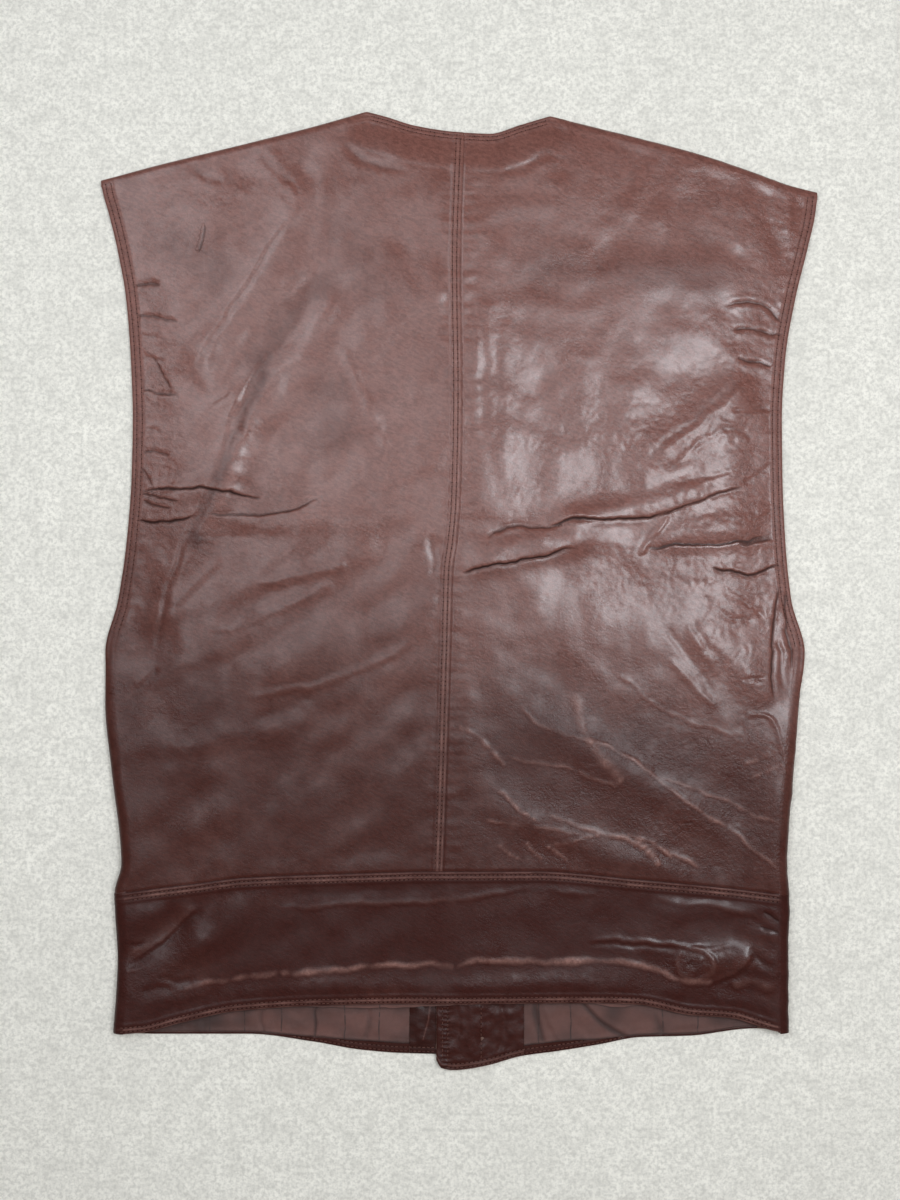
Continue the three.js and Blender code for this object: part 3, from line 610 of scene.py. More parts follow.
# Studio, in metres, and the camera, which looks straight down on its middle in millimetres
FLOOR_SIZE = 6.0
FLOOR_Z = -0.0002
LENS_MM = 50.0
CAMERA_HEIGHT = 1.25
VIEW_CENTRE = (-6.75, -7.1)

# Lights: name, place, where it looks, width, length, watts, colour, whether it shows in the gloss
LIGHTS = (
    ("overhead_light", (0.08, 0.3, 1.5), (0.03, 0.12, 0.0), 2.1, 0.55, 5.6, DAYLIGHT, True),
    ("far_window", (-0.8, 0.75, 1.5), (-0.15, 0.15, 0.0), 0.9, 0.9, 8.0, DAYLIGHT, True),
    ("right_window", (0.46, 0.12, 1.5), (0.2, 0.05, 0.0), 0.5, 0.32, 8.8, DAYLIGHT, True),
    ("left_window", (-0.44, 0.0, 1.5), (-0.2, 0.0, 0.0), 0.5, 0.3, 2.4, DAYLIGHT, True),
    ("near_window", (0.0, -0.62, 1.5), (0.0, -0.28, 0.0), 1.3, 0.26, 0.36, DAYLIGHT, True),
    ("left_light", (-1.9, 0.2, 0.9), (-0.2, 0.0, 0.0), 0.8, 1.6, 3.0, WARM_LIGHT, False),
    ("right_light", (1.9, 0.2, 0.9), (0.2, 0.0, 0.0), 0.8, 1.6, 6.0, WARM_LIGHT, False),
    ("ceiling_light", (0.3, -0.3, 2.3), (0.1, -0.15, 0.0), 2.4, 2.4, 22.5, WARM_LIGHT, False),
)

# The leather's finish: what its grain reads from the mesh, the way the grain is drawn, its depth
PAINTED = ("Wear_highlight_and_shade", "Fade", "Crumpled", "Line", "Deep", "Strip")
GRAIN_ANGLE = math.radians(-24.0)
GRAIN_STRETCH = (2.2, 1.0, 1.0)
GRAIN_DEPTH = 0.00009
FOLD_BAND = 0.12
COAT_ROUGHNESS = 0.22

# Hides: base colour, paled, dark and worn, then roughness, wear and shine. The paled colour also stands for
# painted sheen, and the dark one also for painted shade in creases
HIDES = {
    "vest": ((BROWN, BROWN_PALED, BROWN_DARK, BROWN_WORN), 0.28, 0.8, 0.24),
    "band": ((BAND_BROWN, BROWN, BROWN_DARK, BROWN_WORN), 0.28, 0.8, 0.15),
    "facing": ((FACING_BROWN, BROWN, BROWN_DARK, BROWN_WORN), 0.32, 0.4, 0.15),
}


def mix(a, b, share):
    return a + (b - a) * share


def ease(share):
    inside = np.clip(share, 0.0, 1.0)
    return inside * inside * (3.0 - 2.0 * inside)


def bell(distance, reach):
    return np.exp(-((distance / reach) ** 2))


def through(rows, column=1):
    """A smooth curve through a table's rows that never swings past them: one column at any first one."""
    at = np.array([row[0] for row in rows], float)
    value = np.array([row[column] for row in rows], float)
    grade = np.diff(value) / np.diff(at)
    slope = np.empty(len(at))
    slope[0], slope[-1] = grade[0], grade[-1]
    before, after = grade[:-1], grade[1:]
    product = before * after
    total = np.where(product > 0, before + after, 1.0)
    slope[1:-1] = np.where(product > 0, 2.0 * product / total, 0.0)

    def curve(wanted):
        wanted = np.asarray(wanted, float)
        i = np.clip(np.searchsorted(at, wanted), 1, len(at) - 1)
        length = at[i] - at[i - 1]
        k = np.clip((wanted - at[i - 1]) / length, 0.0, 1.0)
        lean = (1 - k) * (slope[i - 1] - grade[i - 1]) - k * (slope[i] - grade[i - 1])
        return mix(value[i - 1], value[i], k) + length * k * (1 - k) * lean

    return curve


edge_at = {"left": through(OUTLINE, 1), "right": through(OUTLINE, 2)}
shoulder_edge = {"left": through(LEFT_SHOULDER), "right": through(RIGHT_SHOULDER)}
neck_edge = through(NECK)
seam_at = through(CENTRE_SEAM)
waist_at = through(WAIST_SEAM)
back_hem_at = through(BACK_HEM)
front_hem_at = {"left": through(LEFT_HEM), "right": through(RIGHT_HEM)}
TIP = {"left": LEFT_SHOULDER[0], "right": RIGHT_SHOULDER[-1]}


def top_at(x):
    at_neck = np.where(x > NECK_POINT["right"], shoulder_edge["right"](x), neck_edge(x))
    return np.where(x < NECK_POINT["left"], shoulder_edge["left"](x), at_neck)


def folded_at(side, y):
    return ease((UNDERARM[side] - y) / FOLD_START)


def past_neck(side, x):
    return np.abs(x) - abs(NECK_POINT[side])


def shoulder_at(side, x):
    return ease(past_neck(side, x) / SHOULDER_START)


def side_seam_angle(side, y):
    return SIDE_SEAM_ANGLE[side] * ease((UNDERARM[side] - y) / SIDE_SEAM_CLIMB)


def shoulder_seam_angle(side, x):
    return SHOULDER_SEAM_ANGLE[side] * ease(past_neck(side, x) / SHOULDER_SEAM_CLIMB)


def cloud(x, y, size, seed):
    """Smooth random hills, mostly between -1 and 1 and about size apart, that follow no grid."""
    angle = np.random.default_rng(seed).uniform(0.0, 2.0 * math.pi, (64, 64))
    lean_u, lean_v = np.cos(angle), np.sin(angle)
    u, v = np.asarray(x) / size + 31.7, np.asarray(y) / size + 29.3
    i, j = np.floor(u).astype(int), np.floor(v).astype(int)
    a, b = u - i, v - j

    def corner(di, dj):
        k, m = (i + di) % 64, (j + dj) % 64
        return lean_u[k, m] * (a - di) + lean_v[k, m] * (b - dj)

    ease_a = a**3 * (a * (a * 6.0 - 15.0) + 10.0)
    ease_b = b**3 * (b * (b * 6.0 - 15.0) + 10.0)
    low = mix(corner(0, 0), corner(1, 0), ease_a)
    high = mix(corner(0, 1), corner(1, 1), ease_a)
    return 1.7 * mix(low, high, ease_b)


def along_way(x, y, way):
    """Distance from the points to a line through the way's points, more than 0 on its left, and how far
    along it they lie, from 0 to 1."""
    nearest = np.full(np.shape(x), np.inf)
    share = np.zeros(np.shape(x))
    pieces = len(way) - 1
    for i in range(pieces):
        (ax, ay), (bx, by) = way[i], way[i + 1]
        length2 = (bx - ax) ** 2 + (by - ay) ** 2
        k = np.clip(((x - ax) * (bx - ax) + (y - ay) * (by - ay)) / length2, 0.0, 1.0)
        distance = np.hypot(x - mix(ax, bx, k), y - mix(ay, by, k))
        left = (bx - ax) * (y - ay) - (by - ay) * (x - ax) > 0
        closer = distance < np.abs(nearest)
        nearest = np.where(closer, np.where(left, distance, -distance), nearest)
        share = np.where(closer, (i + k) / pieces, share)
    return nearest, share


def dying_away(share, first, last):
    """How far a line shows along its way: it grows from its start and dies away to its end."""
    return ease(share / first) * ease((1.0 - share) / last)


def bowed(x0, y0, x1, y1, bow):
    """The way of a bowed fold, as a few points."""
    length = math.hypot(x1 - x0, y1 - y0)
    points = []
    for i in range(FOLD_STEPS + 1):
        share = i / FOLD_STEPS
        out = 4.0 * bow * share * (1.0 - share)
        px = mix(x0, x1, share) - (y1 - y0) / length * out
        py = mix(y0, y1, share) + (x1 - x0) / length * out
        points.append((px, py))
    return points


def folds(x, y):
    total = np.zeros(np.shape(x))
    for x0, y0, x1, y1, bow, rise, half in BACK_FOLDS:
        distance, share = along_way(x, y, bowed(x0, y0, x1, y1, bow))
        total += rise * bell(distance, half) * mix(FOLD_FOOT, 1.0, dying_away(share, FOLD_FADE, FOLD_FADE))
    return total


def rounded_way(way):
    """A way with its corners cut until it is a smooth curve."""
    points = [np.array(point, float) for point in way]
    for _ in range(CORNER_CUTS):
        cut = [points[0]]
        for a, b in zip(points, points[1:]):
            cut += [mix(a, b, 0.25), mix(a, b, 0.75)]
        points = cut + [points[-1]]
    return points


def wavering(x, y):
    """The place of each point, moved a little, so that no crease runs quite straight."""
    moved = []
    for at, seed in ((x, 5), (y, 7)):
        broad = WAVER[0] * cloud(x, y, WAVER_PITCH[0], seed)
        moved.append(at + broad + WAVER[1] * cloud(x, y, WAVER_PITCH[1], seed + 1))
    return moved


def crease_profile(distance, depth, lip, half):
    """A trough with a lip that falls steeply into it on one side, a trough between two lips, or a ridge."""
    if depth < 0:
        return -depth * bell(distance, half)
    if not lip:
        off = LIP_OFF * half
        sides = bell(distance - off, LIP_HALF * half) + bell(distance + off, LIP_HALF * half)
        return depth * (LIP_HEIGHT * sides - bell(distance, half))
    toward = distance * lip
    behind = np.exp(-np.maximum(toward - half, 0.0) / (5.0 * half))
    rise = ease((toward + 0.3 * half) / (1.3 * half)) * behind
    trough = bell(toward + 0.5 * half, 0.75 * half) + 0.2 * bell(np.minimum(toward, 0.0), 5.0 * half)
    return depth * (STEEP_LIP * rise - STEEP_TROUGH * trough)


def near_way(x, y, way, reach):
    """Which points lie near a way, how far off its smooth curve they are, and how far along it."""
    xs = [point[0] for point in way]
    ys = [point[1] for point in way]
    inside_x = (x > min(xs) - reach) & (x < max(xs) + reach)
    near = inside_x & (y > min(ys) - reach) & (y < max(ys) + reach)
    distance, share = along_way(x[near], y[near], rounded_way(way))
    return near, distance, share


def creases(x, y):
    wx, wy = wavering(x, y)
    total = np.zeros(np.shape(x))
    for number, (depth, lip, half, way) in enumerate(CREASES):
        near, distance, share = near_way(wx, wy, way, half * 14.0)
        uneven = 0.85 + 0.4 * cloud(share * 40.0, number * 13.0, 9.0, 40)
        profile = crease_profile(distance, depth, lip, half)
        total[near] += profile * dying_away(share, 0.22, 0.28) * uneven
    return total


def crease_lines(x, y):
    """The sharp line at the bottom of the nearest tight crease, along which shade is painted: how far off it
    is, and how deep. One thin dark tick is added.
    """
    wx, wy = wavering(x, y)
    nearest = np.full(np.shape(x), LINE_REACH)
    strength = np.zeros(np.shape(x))
    for depth, _, half, way in CREASES:
        if depth < SHARP_DEPTH or half > SHARP_HALF:
            continue
        near, distance, share = near_way(wx, wy, way, LINE_REACH)
        closer = np.abs(distance) < np.abs(nearest[near])
        nearest[near] = np.where(closer, distance, nearest[near])
        here = min(depth / DEEPEST, 1.0) * dying_away(share, 0.2, 0.25) * bell(distance, LINE_HALF)
        strength[near] = np.maximum(strength[near], here)
    tick, _ = along_way(x, y, DARK_TICK)
    at_tick = np.abs(tick) < DARK_TICK_REACH
    return np.where(at_tick, tick, nearest), np.where(at_tick, DARK_TICK_DEPTH, strength)


def veins(x, y):
    wx, wy = wavering(x, y)
    total = np.zeros(np.shape(x))
    for number, (height, half, way) in enumerate(VEINS):
        near, distance, share = near_way(wx, wy, way, half * 6.0)
        uneven = 0.6 + 0.6 * cloud(share * 60.0, number * 11.0, 6.0, 41)
        total[near] += height * bell(distance, half) * dying_away(share, 0.12, 0.12) * uneven
    return total


def straight_lines(rows, x, y):
    """Soft straight lines of a table, summed: from x, y to x, y, strength, half width."""
    total = np.zeros(np.shape(x))
    for x0, y0, x1, y1, strength, half in rows:
        distance, _ = along_way(x, y, ((x0, y0), (x1, y1)))
        total += strength * bell(distance, half)
    return total


def patches(rows, x, y):
    """Soft oval patches of a table, summed: middle x, y, reach x, y, strength."""
    total = np.zeros(np.shape(x))
    for mx, my, rx, ry, strength in rows:
        total += strength * np.exp(-(((x - mx) / rx) ** 2) - ((y - my) / ry) ** 2)
    return total


def swells(x, y):
    wx, wy = wavering(x, y)
    return SWELL_SHARE * straight_lines(SWELLS, wx, wy)


def crumpled(x, y):
    """How far the leather is broken into fine wrinkles, from 0 to 1."""
    total = 0.12 + 0.1 * cloud(x, y, 40.0, 61) + patches(CRUMPLED, x, y)
    uneven = 0.75 + 0.5 * cloud(x, y, 22.0, 62)
    return np.clip(total * uneven, 0.0, 1.0)


def wrinkles(x, y):
    """Small wrinkles that the mesh can hold; the finer ones are in the leather's own finish."""
    u = x + 3.0 * cloud(x, y, 15.0, 63)
    v = y + 3.0 * cloud(x, y, 15.0, 64)
    wave = cloud(u, v, 8.0, 65) + 0.6 * cloud(u, v, 4.4, 66)
    return WRINKLE_DEPTH * (0.35 - np.abs(wave)) * crumpled(x, y)


def slack(x, y):
    """The broad soft swells of leather that lies loose."""
    drawn = cloud(0.83 * x + 0.55 * y, 2.2 * (0.83 * y - 0.55 * x), 52.0, 4)
    loose = 0.9 * cloud(x, y, 74.0, 1) + 0.55 * cloud(x, y, 36.0, 2) + 0.2 * cloud(x, y, 16.0, 3)
    return loose + 0.8 * drawn * ease((40.0 - x) / 60.0)


def from_side(x, y):
    left, right = x - edge_at["left"](y), edge_at["right"](y) - x
    return np.minimum(left, right), left < right


def back_rise(x, y):
    """Height of the back's outer face, not counting the turn at a fold: the solids' own form."""
    edge, at_left = from_side(x, y)
    below = np.where(at_left, UNDERARM["left"], UNDERARM["right"]) - y
    side_loft = SIDE_LOFT * ease(below / LOFT_START) * bell(edge, SIDE_REACH)
    centre_loft = CENTRE_LOFT * bell(x - CENTRE_X, CENTRE_REACH)
    at_armhole = mix(ease(edge / ARMHOLE_SLOPE), 1.0, ease(below / (2 * FOLD_START) + 0.2))
    outward = mix(EDGE_RISE, BACK_RISE + centre_loft + side_loft + folds(x, y), at_armhole)
    shoulder = np.where(x < 0, shoulder_at("left", x), shoulder_at("right", x))
    at_neck = mix(ease((top_at(x) - y) / NECK_SLOPE), 1.0, shoulder)
    return mix(NECK_RISE, outward, at_neck)


def slope_of(curve, at):
    return curve(at + 0.5) - curve(at - 0.5)


def tilt(curve, at):
    """How much longer a step along a curve is than the same step along its axis."""
    return np.hypot(1.0, slope_of(curve, at))


def seam_distances(x, y):
    """How far the points of the back lie from its seams and edges, square to them."""
    return {
        "centre": (x - seam_at(y)) / tilt(seam_at, y),
        "waist": (y - waist_at(x)) / tilt(waist_at, x),
        "hem": (y - back_hem_at(x)) / tilt(back_hem_at, x),
        "top": (top_at(x) - y) / tilt(top_at, x),
        "left": (x - edge_at["left"](y)) / tilt(edge_at["left"], y),
        "right": (edge_at["right"](y) - x) / tilt(edge_at["right"], y),
    }


def groove(distance, rows):
    total = 0.0
    for row in rows:
        total = total - STITCH_GROOVE * bell(distance - row, 1.0)
    return total


def pucker(along, distance, reach, pitch, seed):
    """Leather drawn up by a row of stitches: small waves square to it that die away from it."""
    wave = cloud(along, distance * 0.35, pitch, seed)
    return PUCKER_DEPTH * wave * bell(np.maximum(distance, 0.0), reach)


def rounded_off(distance, reach, drop):
    """How far a cut edge is rounded down at a distance in from it."""
    return drop * np.clip(1.0 - distance / reach, 0.0, 1.0) ** 2


def lapped_seam(under, along, reach, pitch, seed):
    """A seam whose lap is sewn down by two rows: under is the distance on the lap's side of it."""
    lap = LAP_RISE * ease((LAP + LAP_SLOPE / 2 - under) / LAP_SLOPE) + groove(under, SEAM_ROWS)
    drawn_up = pucker(along, np.abs(under) - SEAM_ROWS[1], reach, pitch, seed)
    return lap * (under > 0) - SEAM_DIP * bell(under, 1.0) + drawn_up


def turned_edge(distance, rows, turn, along, loose, reach, pitch, seed):
    """An edge turned in as far as turn and sewn down by rows, and puckered where it is loose."""
    strip = EDGE_TURN_RISE * ease((turn - distance) / TURN_SLOPE) + groove(distance, rows)
    drawn_up = pucker(along, np.abs(distance - loose), reach, pitch, seed)
    return strip - rounded_off(distance, EDGE_ROUND, EDGE_ROUND_DROP) + drawn_up


def open_shares(x, y):
    """How far the left and right sides and the top are open edges rather than folds, from 0 to 1."""
    shoulder = np.where(x < 0, shoulder_at("left", x), shoulder_at("right", x))
    return {"left": 1.0 - folded_at("left", y), "right": 1.0 - folded_at("right", y), "top": 1.0 - shoulder}


def relief(x, y):
    """What stands on the solids' form: seams, stitched edges, creases, wrinkles and slack."""
    far = seam_distances(x, y)
    body = far["waist"] > 0
    is_open = open_shares(x, y)
    total = lapped_seam(-far["centre"], y, 9.0, 6.0, 21) * body
    total += lapped_seam(-far["waist"], x, 10.0, 7.0, 22) + WAIST_LIP * bell(-far["waist"] - 0.9, 0.8)
    total += turned_edge(far["hem"], HEM_ROWS, LAP + TURN_SLOPE / 2, x, 7.0, 9.0, 5.0, 23) * ~body
    for name, rows, along in (("left", ARMHOLE_ROWS, y), ("right", ARMHOLE_ROWS, y), ("top", NECK_ROWS, x)):
        turn, loose = rows[-1] + 2.4, rows[-1] + 1.0
        edge = turned_edge(far[name], rows, turn, along, loose, 8.0, 5.5, 24)
        total += edge * is_open[name] * body
    total -= FACING_DENT * bell(far["top"] - 30.0, 1.6) * is_open["top"] * body
    across = np.minimum(np.abs(far["centre"]), np.minimum(far["left"], far["right"]))
    upward = np.minimum(np.abs(far["waist"]), np.minimum(far["top"], far["hem"]))
    calm = mix(CALM_SHARE, 1.0, ease((across - 4.0) / 12.0) * ease((upward - 4.0) / 12.0))
    return total + calm * (creases(x, y) + veins(x, y) + wrinkles(x, y) + slack(x, y) + swells(x, y))


def back_top(x, y):
    return back_rise(x, y) + relief(x, y)


def gap_angle(angle, height, width):
    pace = np.hypot(width * np.sin(angle), (height / 2) * np.cos(angle))
    return SEAM_SLIT / pace


def round_fold(turn, folded, seam_angle, height, width, up):
    """A point's way round a fold, from the flat to the seam: how far in from the outline it lies, and
    its share of the fold's height."""
    facing = 1 if up else -1
    seam = np.radians(seam_angle) + facing * gap_angle(np.radians(seam_angle), height, width)
    angle = mix(facing * math.pi / 2, seam, turn)
    inset = width * (1.0 - mix(turn, np.cos(angle), folded))
    return inset, (1.0 + np.sin(angle)) / 2.0


def between(bottom, top, inner, outer):
    """A surface between four edges, each a function of a share from 0 to 1 that gives x and y."""
    corner = [bottom(0.0), bottom(1.0), top(0.0), top(1.0)]

    def plan(s, t):
        low, high, near, away = bottom(s), top(s), inner(t), outer(t)
        found = []
        for axis in (0, 1):
            ruled = mix(low[axis], high[axis], t) + mix(near[axis], away[axis], s)
            first = mix(corner[0][axis], corner[1][axis], s)
            second = mix(corner[2][axis], corner[3][axis], s)
            found.append(ruled - mix(first, second, t))
        return found

    return plan


def even_in_x(x0, x1, curve, shift=0.0):
    def edge(share):
        x = mix(x0, x1, share)
        return x, curve(x) + shift

    return edge


def even_in_y(y0, y1, curve, shift=0.0):
    def edge(share):
        y = mix(y0, y1, share)
        return curve(y) + shift, y

    return edge


def upright(x, y0, y1):
    def edge(share):
        return x + 0.0 * share, mix(y0, y1, share)

    return edge


def front_lift(side, x):
    if side == "left":
        return np.zeros(np.shape(x))
    xs, shares = zip(*LIFT)
    return RIGHT_LIFT * np.interp(x, xs, shares)


def stations(length, pace, start=(), end=(), turns=0):
    """Shares of a length, close where seams need it, and then the steps of the turn at its end."""
    first = [0.0] + list(start)
    last = [length - d for d in reversed(list(end))] + [length]
    middle = max(int((last[0] - first[-1]) / pace), 1)
    flat = first + list(np.linspace(first[-1], last[0], middle + 1)[1:-1]) + last
    share = np.concatenate([np.array(flat) / length, np.ones(turns)])
    turn = np.concatenate([np.zeros(len(flat)), np.arange(1, turns + 1) / max(turns, 1)])
    return share, turn


def place(plan, side, columns, rows, up, top_strip, top_of, inner_share=0.0, outer_share=1.0):
    """The points of a panel that turns over at its side and at its top, as three grids."""
    out = OUTWARD[side]
    share, turn = columns[0][None, :], columns[1][None, :]
    row_share, row_turn = rows[0][:, None], rows[1][:, None]

    def across(at):
        return mix(inner_share, outer_share, at)

    reach = plan(across(share), 1.0)[1] - plan(across(share), 0.0)[1]
    t = np.where(row_turn > 0, 1.0, row_share * (1.0 - top_strip / reach))
    edge_x, edge_y = plan(outer_share, t)
    span = np.abs(edge_x - plan(inner_share, t)[0])
    folded = folded_at(side, edge_y)
    side_height = back_rise(edge_x - out * EDGE_STRIP, edge_y)
    inset, lift = round_fold(turn, folded, side_seam_angle(side, edge_y), side_height, EDGE_STRIP, up)
    x, y = plan(across(share * (1.0 - EDGE_STRIP / span)), t)
    x = np.where(turn > 0, edge_x - out * inset, x)
    y = np.where(turn > 0, edge_y, y)
    shoulder = np.where(row_turn > 0, shoulder_at(side, x), 0.0)
    top_height = back_rise(x, top_at(x) - TOP_STRIP)
    seam_angle = shoulder_seam_angle(side, x)
    over, top_lift = round_fold(row_turn, shoulder, seam_angle, top_height, TOP_STRIP, up)
    if top_strip:
        y = np.where(row_turn > 0, top_of(x) - over, y)
    if up:
        z = back_rise(x, y)
        z = np.where(turn > 0, mix(z, side_height * lift, folded), z)
        z = np.where(row_turn > 0, mix(z, top_height * top_lift, shoulder), z)
    else:
        z = front_lift(side, x)
        z = np.where(turn > 0, z + side_height * lift * folded, z)
        z = np.where(row_turn > 0, z + top_height * top_lift * shoulder, z)
    still = np.maximum(np.where(turn > 0, folded, 0.0), np.where(row_turn > 0, shoulder, 0.0))
    return np.stack([x, y, z], axis=-1), still


def normals_of(points, up):
    """The outward direction at each point of a grid."""
    along_row = np.gradient(points, axis=1)
    along_column = np.gradient(points, axis=0)
    normal = np.cross(along_row, along_column)
    normal /= np.linalg.norm(normal, axis=-1, keepdims=True) + 1e-12
    middle = normal[normal.shape[0] // 2, normal.shape[1] // 4, 2]
    return normal if (middle > 0) == up else -normal


def whole_piece(name, vertices, faces, kinds, materials):
    """A smooth mesh piece that rides on the vest, with a material by number for each face."""
    mesh = bpy.data.meshes.new(name)
    mesh.from_pydata((np.asarray(vertices) * MM).tolist(), [], faces)
    mesh.polygons.foreach_set("use_smooth", [True] * len(mesh.polygons))
    for material in materials:
        mesh.materials.append(material)
    mesh.polygons.foreach_set("material_index", kinds)
    piece = bpy.data.objects.new(name, mesh)
    bpy.context.scene.collection.objects.link(piece)
    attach(piece, "root")
    return piece


def sheet_piece(name, points, up, thickness, node, material, behind=None):
    """A sheet of leather or cloth through a grid of points, with its cut edge, and its other face if that
    has a material."""
    height, width = points.shape[:2]
    normal = normals_of(points, up)
    inner = points - normal * thickness
    count = height * width
    ring = [(0, i) for i in range(width)]
    ring += [(j, width - 1) for j in range(1, height)]
    ring += [(height - 1, i) for i in range(width - 2, -1, -1)]
    ring += [(j, 0) for j in range(height - 2, 0, -1)]
    j, i = np.meshgrid(np.arange(height - 1), np.arange(width - 1), indexing="ij")
    first = (j * width + i).ravel()
    quads = np.stack([first, first + 1, first + width + 1, first + width], axis=1)
    right_way = np.cross(points[0, 1] - points[0, 0], points[1, 0] - points[0, 0]) @ normal[0, 0] > 0
    if not right_way:
        quads = quads[:, ::-1]
    faces = quads.tolist()
    above = [a * width + b for a, b in ring]
    if behind:
        vertices = np.concatenate([points.reshape(-1, 3), inner.reshape(-1, 3)])
        faces += (quads[:, ::-1] + count).tolist()
        under = [count + number for number in above]
    else:
        edge = np.array([inner[a, b] for a, b in ring])
        vertices = np.concatenate([points.reshape(-1, 3), edge])
        under = [count + k for k in range(len(ring))]
    for k in range(len(ring)):
        after = (k + 1) % len(ring)
        wall = [above[k], under[k], under[after], above[after]]
        faces.append(wall if right_way else wall[::-1])
    kinds = np.zeros(len(faces), int)
    if behind:
        kinds[len(quads) : 2 * len(quads)] = 1
    piece = whole_piece(name, vertices, faces, kinds, [material, behind] if behind else [material])
    rim = np.zeros(len(faces), bool)
    rim[-len(ring) :] = True
    mark_rim(piece.data, rim)
    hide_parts(node)
    return piece


def mark_rim(mesh, rim):
    """The cut edge stays crisp beside the smooth faces."""
    work = bmesh.new()
    work.from_mesh(mesh)
    work.faces.ensure_lookup_table()
    for number in np.flatnonzero(rim):
        for edge in work.faces[number].edges:
            if any(not rim[face.index] for face in edge.link_faces):
                edge.smooth = False
    work.to_mesh(mesh)
    work.free()


def paint(piece, name, values):
    """Keeps a value for each point of a piece, which its material reads."""
    layer = piece.data.attributes.new(name, "FLOAT", "POINT")
    whole = np.zeros(len(piece.data.vertices), np.float32)
    flat = np.asarray(values, np.float32).ravel()
    whole[: len(flat)] = flat
    layer.data.foreach_set("value", whole)


def wear_highlight_and_shade(x, y):
    """Where the leather is worn lighter on its ridges (up to 1), and where shade is painted dark into its
    creases (down to -1).
    """
    folded = creases(x, y)
    worn = 0.25 * np.maximum(folded, 0.0) + 1.8 * veins(x, y) + 0.75 * ribs(x, y)
    return np.clip(0.8 * np.minimum(folded, 0.0) + worn, -1.0, 1.0)


def ribs(x, y):
    """The rubbed ribs of leather that stand beside and between the rows of stitches."""
    far = seam_distances(x, y)
    body = far["waist"] > 0
    total = rib_between(-far["centre"], SEAM_ROWS) * (far["centre"] < 0) * body
    total += rib_between(-far["waist"], SEAM_ROWS) * ~body
    total += rib_between(far["hem"], HEM_ROWS) * ~body
    uneven = 0.7 + 0.5 * cloud(x, y, 14.0, 68)
    return np.clip(total * uneven, 0.0, 1.0)


def rib_between(distance, rows):
    middle = (rows[0] + rows[1]) / 2
    return bell(distance - middle, 0.8) + 0.8 * bell(distance - rows[0] + 1.5, 0.6)


def fade(x, y):
    """How far the leather is paler and more polished: from 0 near the waist to 1 towards the shoulders, more
    or less in streaks, and in patches of the waistband. Along the streaks and in the patches, the paler
    colour is painted sheen and the darker one painted shade."""
    body = ease((y + FADE_LEAN * x - FADE_START) / FADE_REACH) + straight_lines(STREAKS, x, y)
    polish = patches(BAND_POLISH_AND_SHEEN, x, y) * (0.75 + 0.7 * cloud(x, y, 9.0, 69))
    return np.where(y > waist_at(x), np.clip(body, 0.0, MOST_FADE), np.clip(polish, 0.0, 1.0))


def strips(x, y):
    """The stitched strips along the seams and edges, where the leather is held flat and shines less."""
    far = seam_distances(x, y)
    body = far["waist"] > 0
    is_open = open_shares(x, y)
    total = bell(np.maximum(-far["centre"], 0.0) - 3.5, 4.5) * (far["centre"] < 1.0) * body
    total = np.maximum(total, bell(np.abs(-far["waist"] - 3.5), 4.5) * ~body)
    total = np.maximum(total, bell(far["hem"] - 3.0, 4.5) * ~body)
    for name in SIDES:
        total = np.maximum(total, ease((10.5 - far[name]) / 2.0) * is_open[name] * body)
    return np.maximum(total, ease((8.5 - far["top"]) / 2.0) * is_open["top"])


def finish_paint(piece, x, y, still):
    """What the leather's finish reads at each point of the back."""
    off, deep = crease_lines(x, y)
    # Worn lighter on ridges, veins and stitch ribs, with painted shade in the creases.
    paint(piece, "wear_highlight_and_shade", wear_highlight_and_shade(x, y) * (1.0 - 0.6 * still))
    paint(piece, "fade", fade(x, y))
    paint(piece, "crumpled", crumpled(x, y))
    paint(piece, "line", off)
    # Painted shade along the sharp crease lines, and the thin dark tick.
    paint(piece, "deep", deep * (1.0 - still))
    paint(piece, "strip", strips(x, y) * (1.0 - still))


def beside_seam(points, folded):
    """1 away from a piece's last column, and down to 0 at it where the side is folded."""
    steps = np.linalg.norm(np.diff(points, axis=1), axis=-1)
    along = np.cumsum(steps[:, ::-1], axis=1)[:, ::-1]
    along = np.concatenate([along, np.zeros((len(along), 1))], axis=1)
    return mix(1.0, ease(along / SEAM_CALM), folded)


def beside_seams(points, side, has_top=True):
    """How far the relief of a half may show: it dies away at its side seam and its shoulder seam."""
    calm = beside_seam(points, folded_at(side, points[:, -1, 1])[:, None])
    if has_top:
        turned = np.swapaxes(points, 0, 1)
        calm = calm * beside_seam(turned, shoulder_at(side, turned[:, -1, 0])[:, None]).T
    return calm


def raised(points, up, height):
    return points + normals_of(points, up) * height[..., None]


def back_half(side, material):
    gap = OUTWARD[side] * SEAM_SLIT
    waist_x = float(seam_at(WAIST_Y["middle"])) + gap
    neck_x = float(seam_at(NECK_Y)) + gap
    tip_x, tip_y = TIP[side]
    side_x = float(edge_at[side](WAIST_Y["side"]))
    plan = between(
        even_in_x(waist_x, side_x, waist_at, SEAM_SLIT),
        even_in_x(neck_x, tip_x, top_at),
        even_in_y(float(waist_at(waist_x)) + SEAM_SLIT, float(top_at(neck_x)), seam_at, gap),
        even_in_y(float(waist_at(side_x)) + SEAM_SLIT, tip_y, edge_at[side]),
    )
    near_seam = SEAM_STEPS if side == "left" else SEAM_STEPS[:5]
    wide = abs(side_x - waist_x) - EDGE_STRIP
    columns = stations(wide, BACK_PACE, near_seam, BACK_END, FOLD_COLUMNS["back"])
    rows = stations(LONG["back"], BACK_PACE, SEAM_STEPS[:5], BACK_END, FOLD_ROWS["back"])
    points, still = place(plan, side, columns, rows, True, TOP_STRIP, top_at)
    x, y = points[..., 0], points[..., 1]
    points = raised(points, True, relief(x, y) * beside_seams(points, side))
    piece = sheet_piece(f"back_{side}_leather", points, True, LEATHER, f"back_{side}", material)
    finish_paint(piece, x, y, still)
    return piece


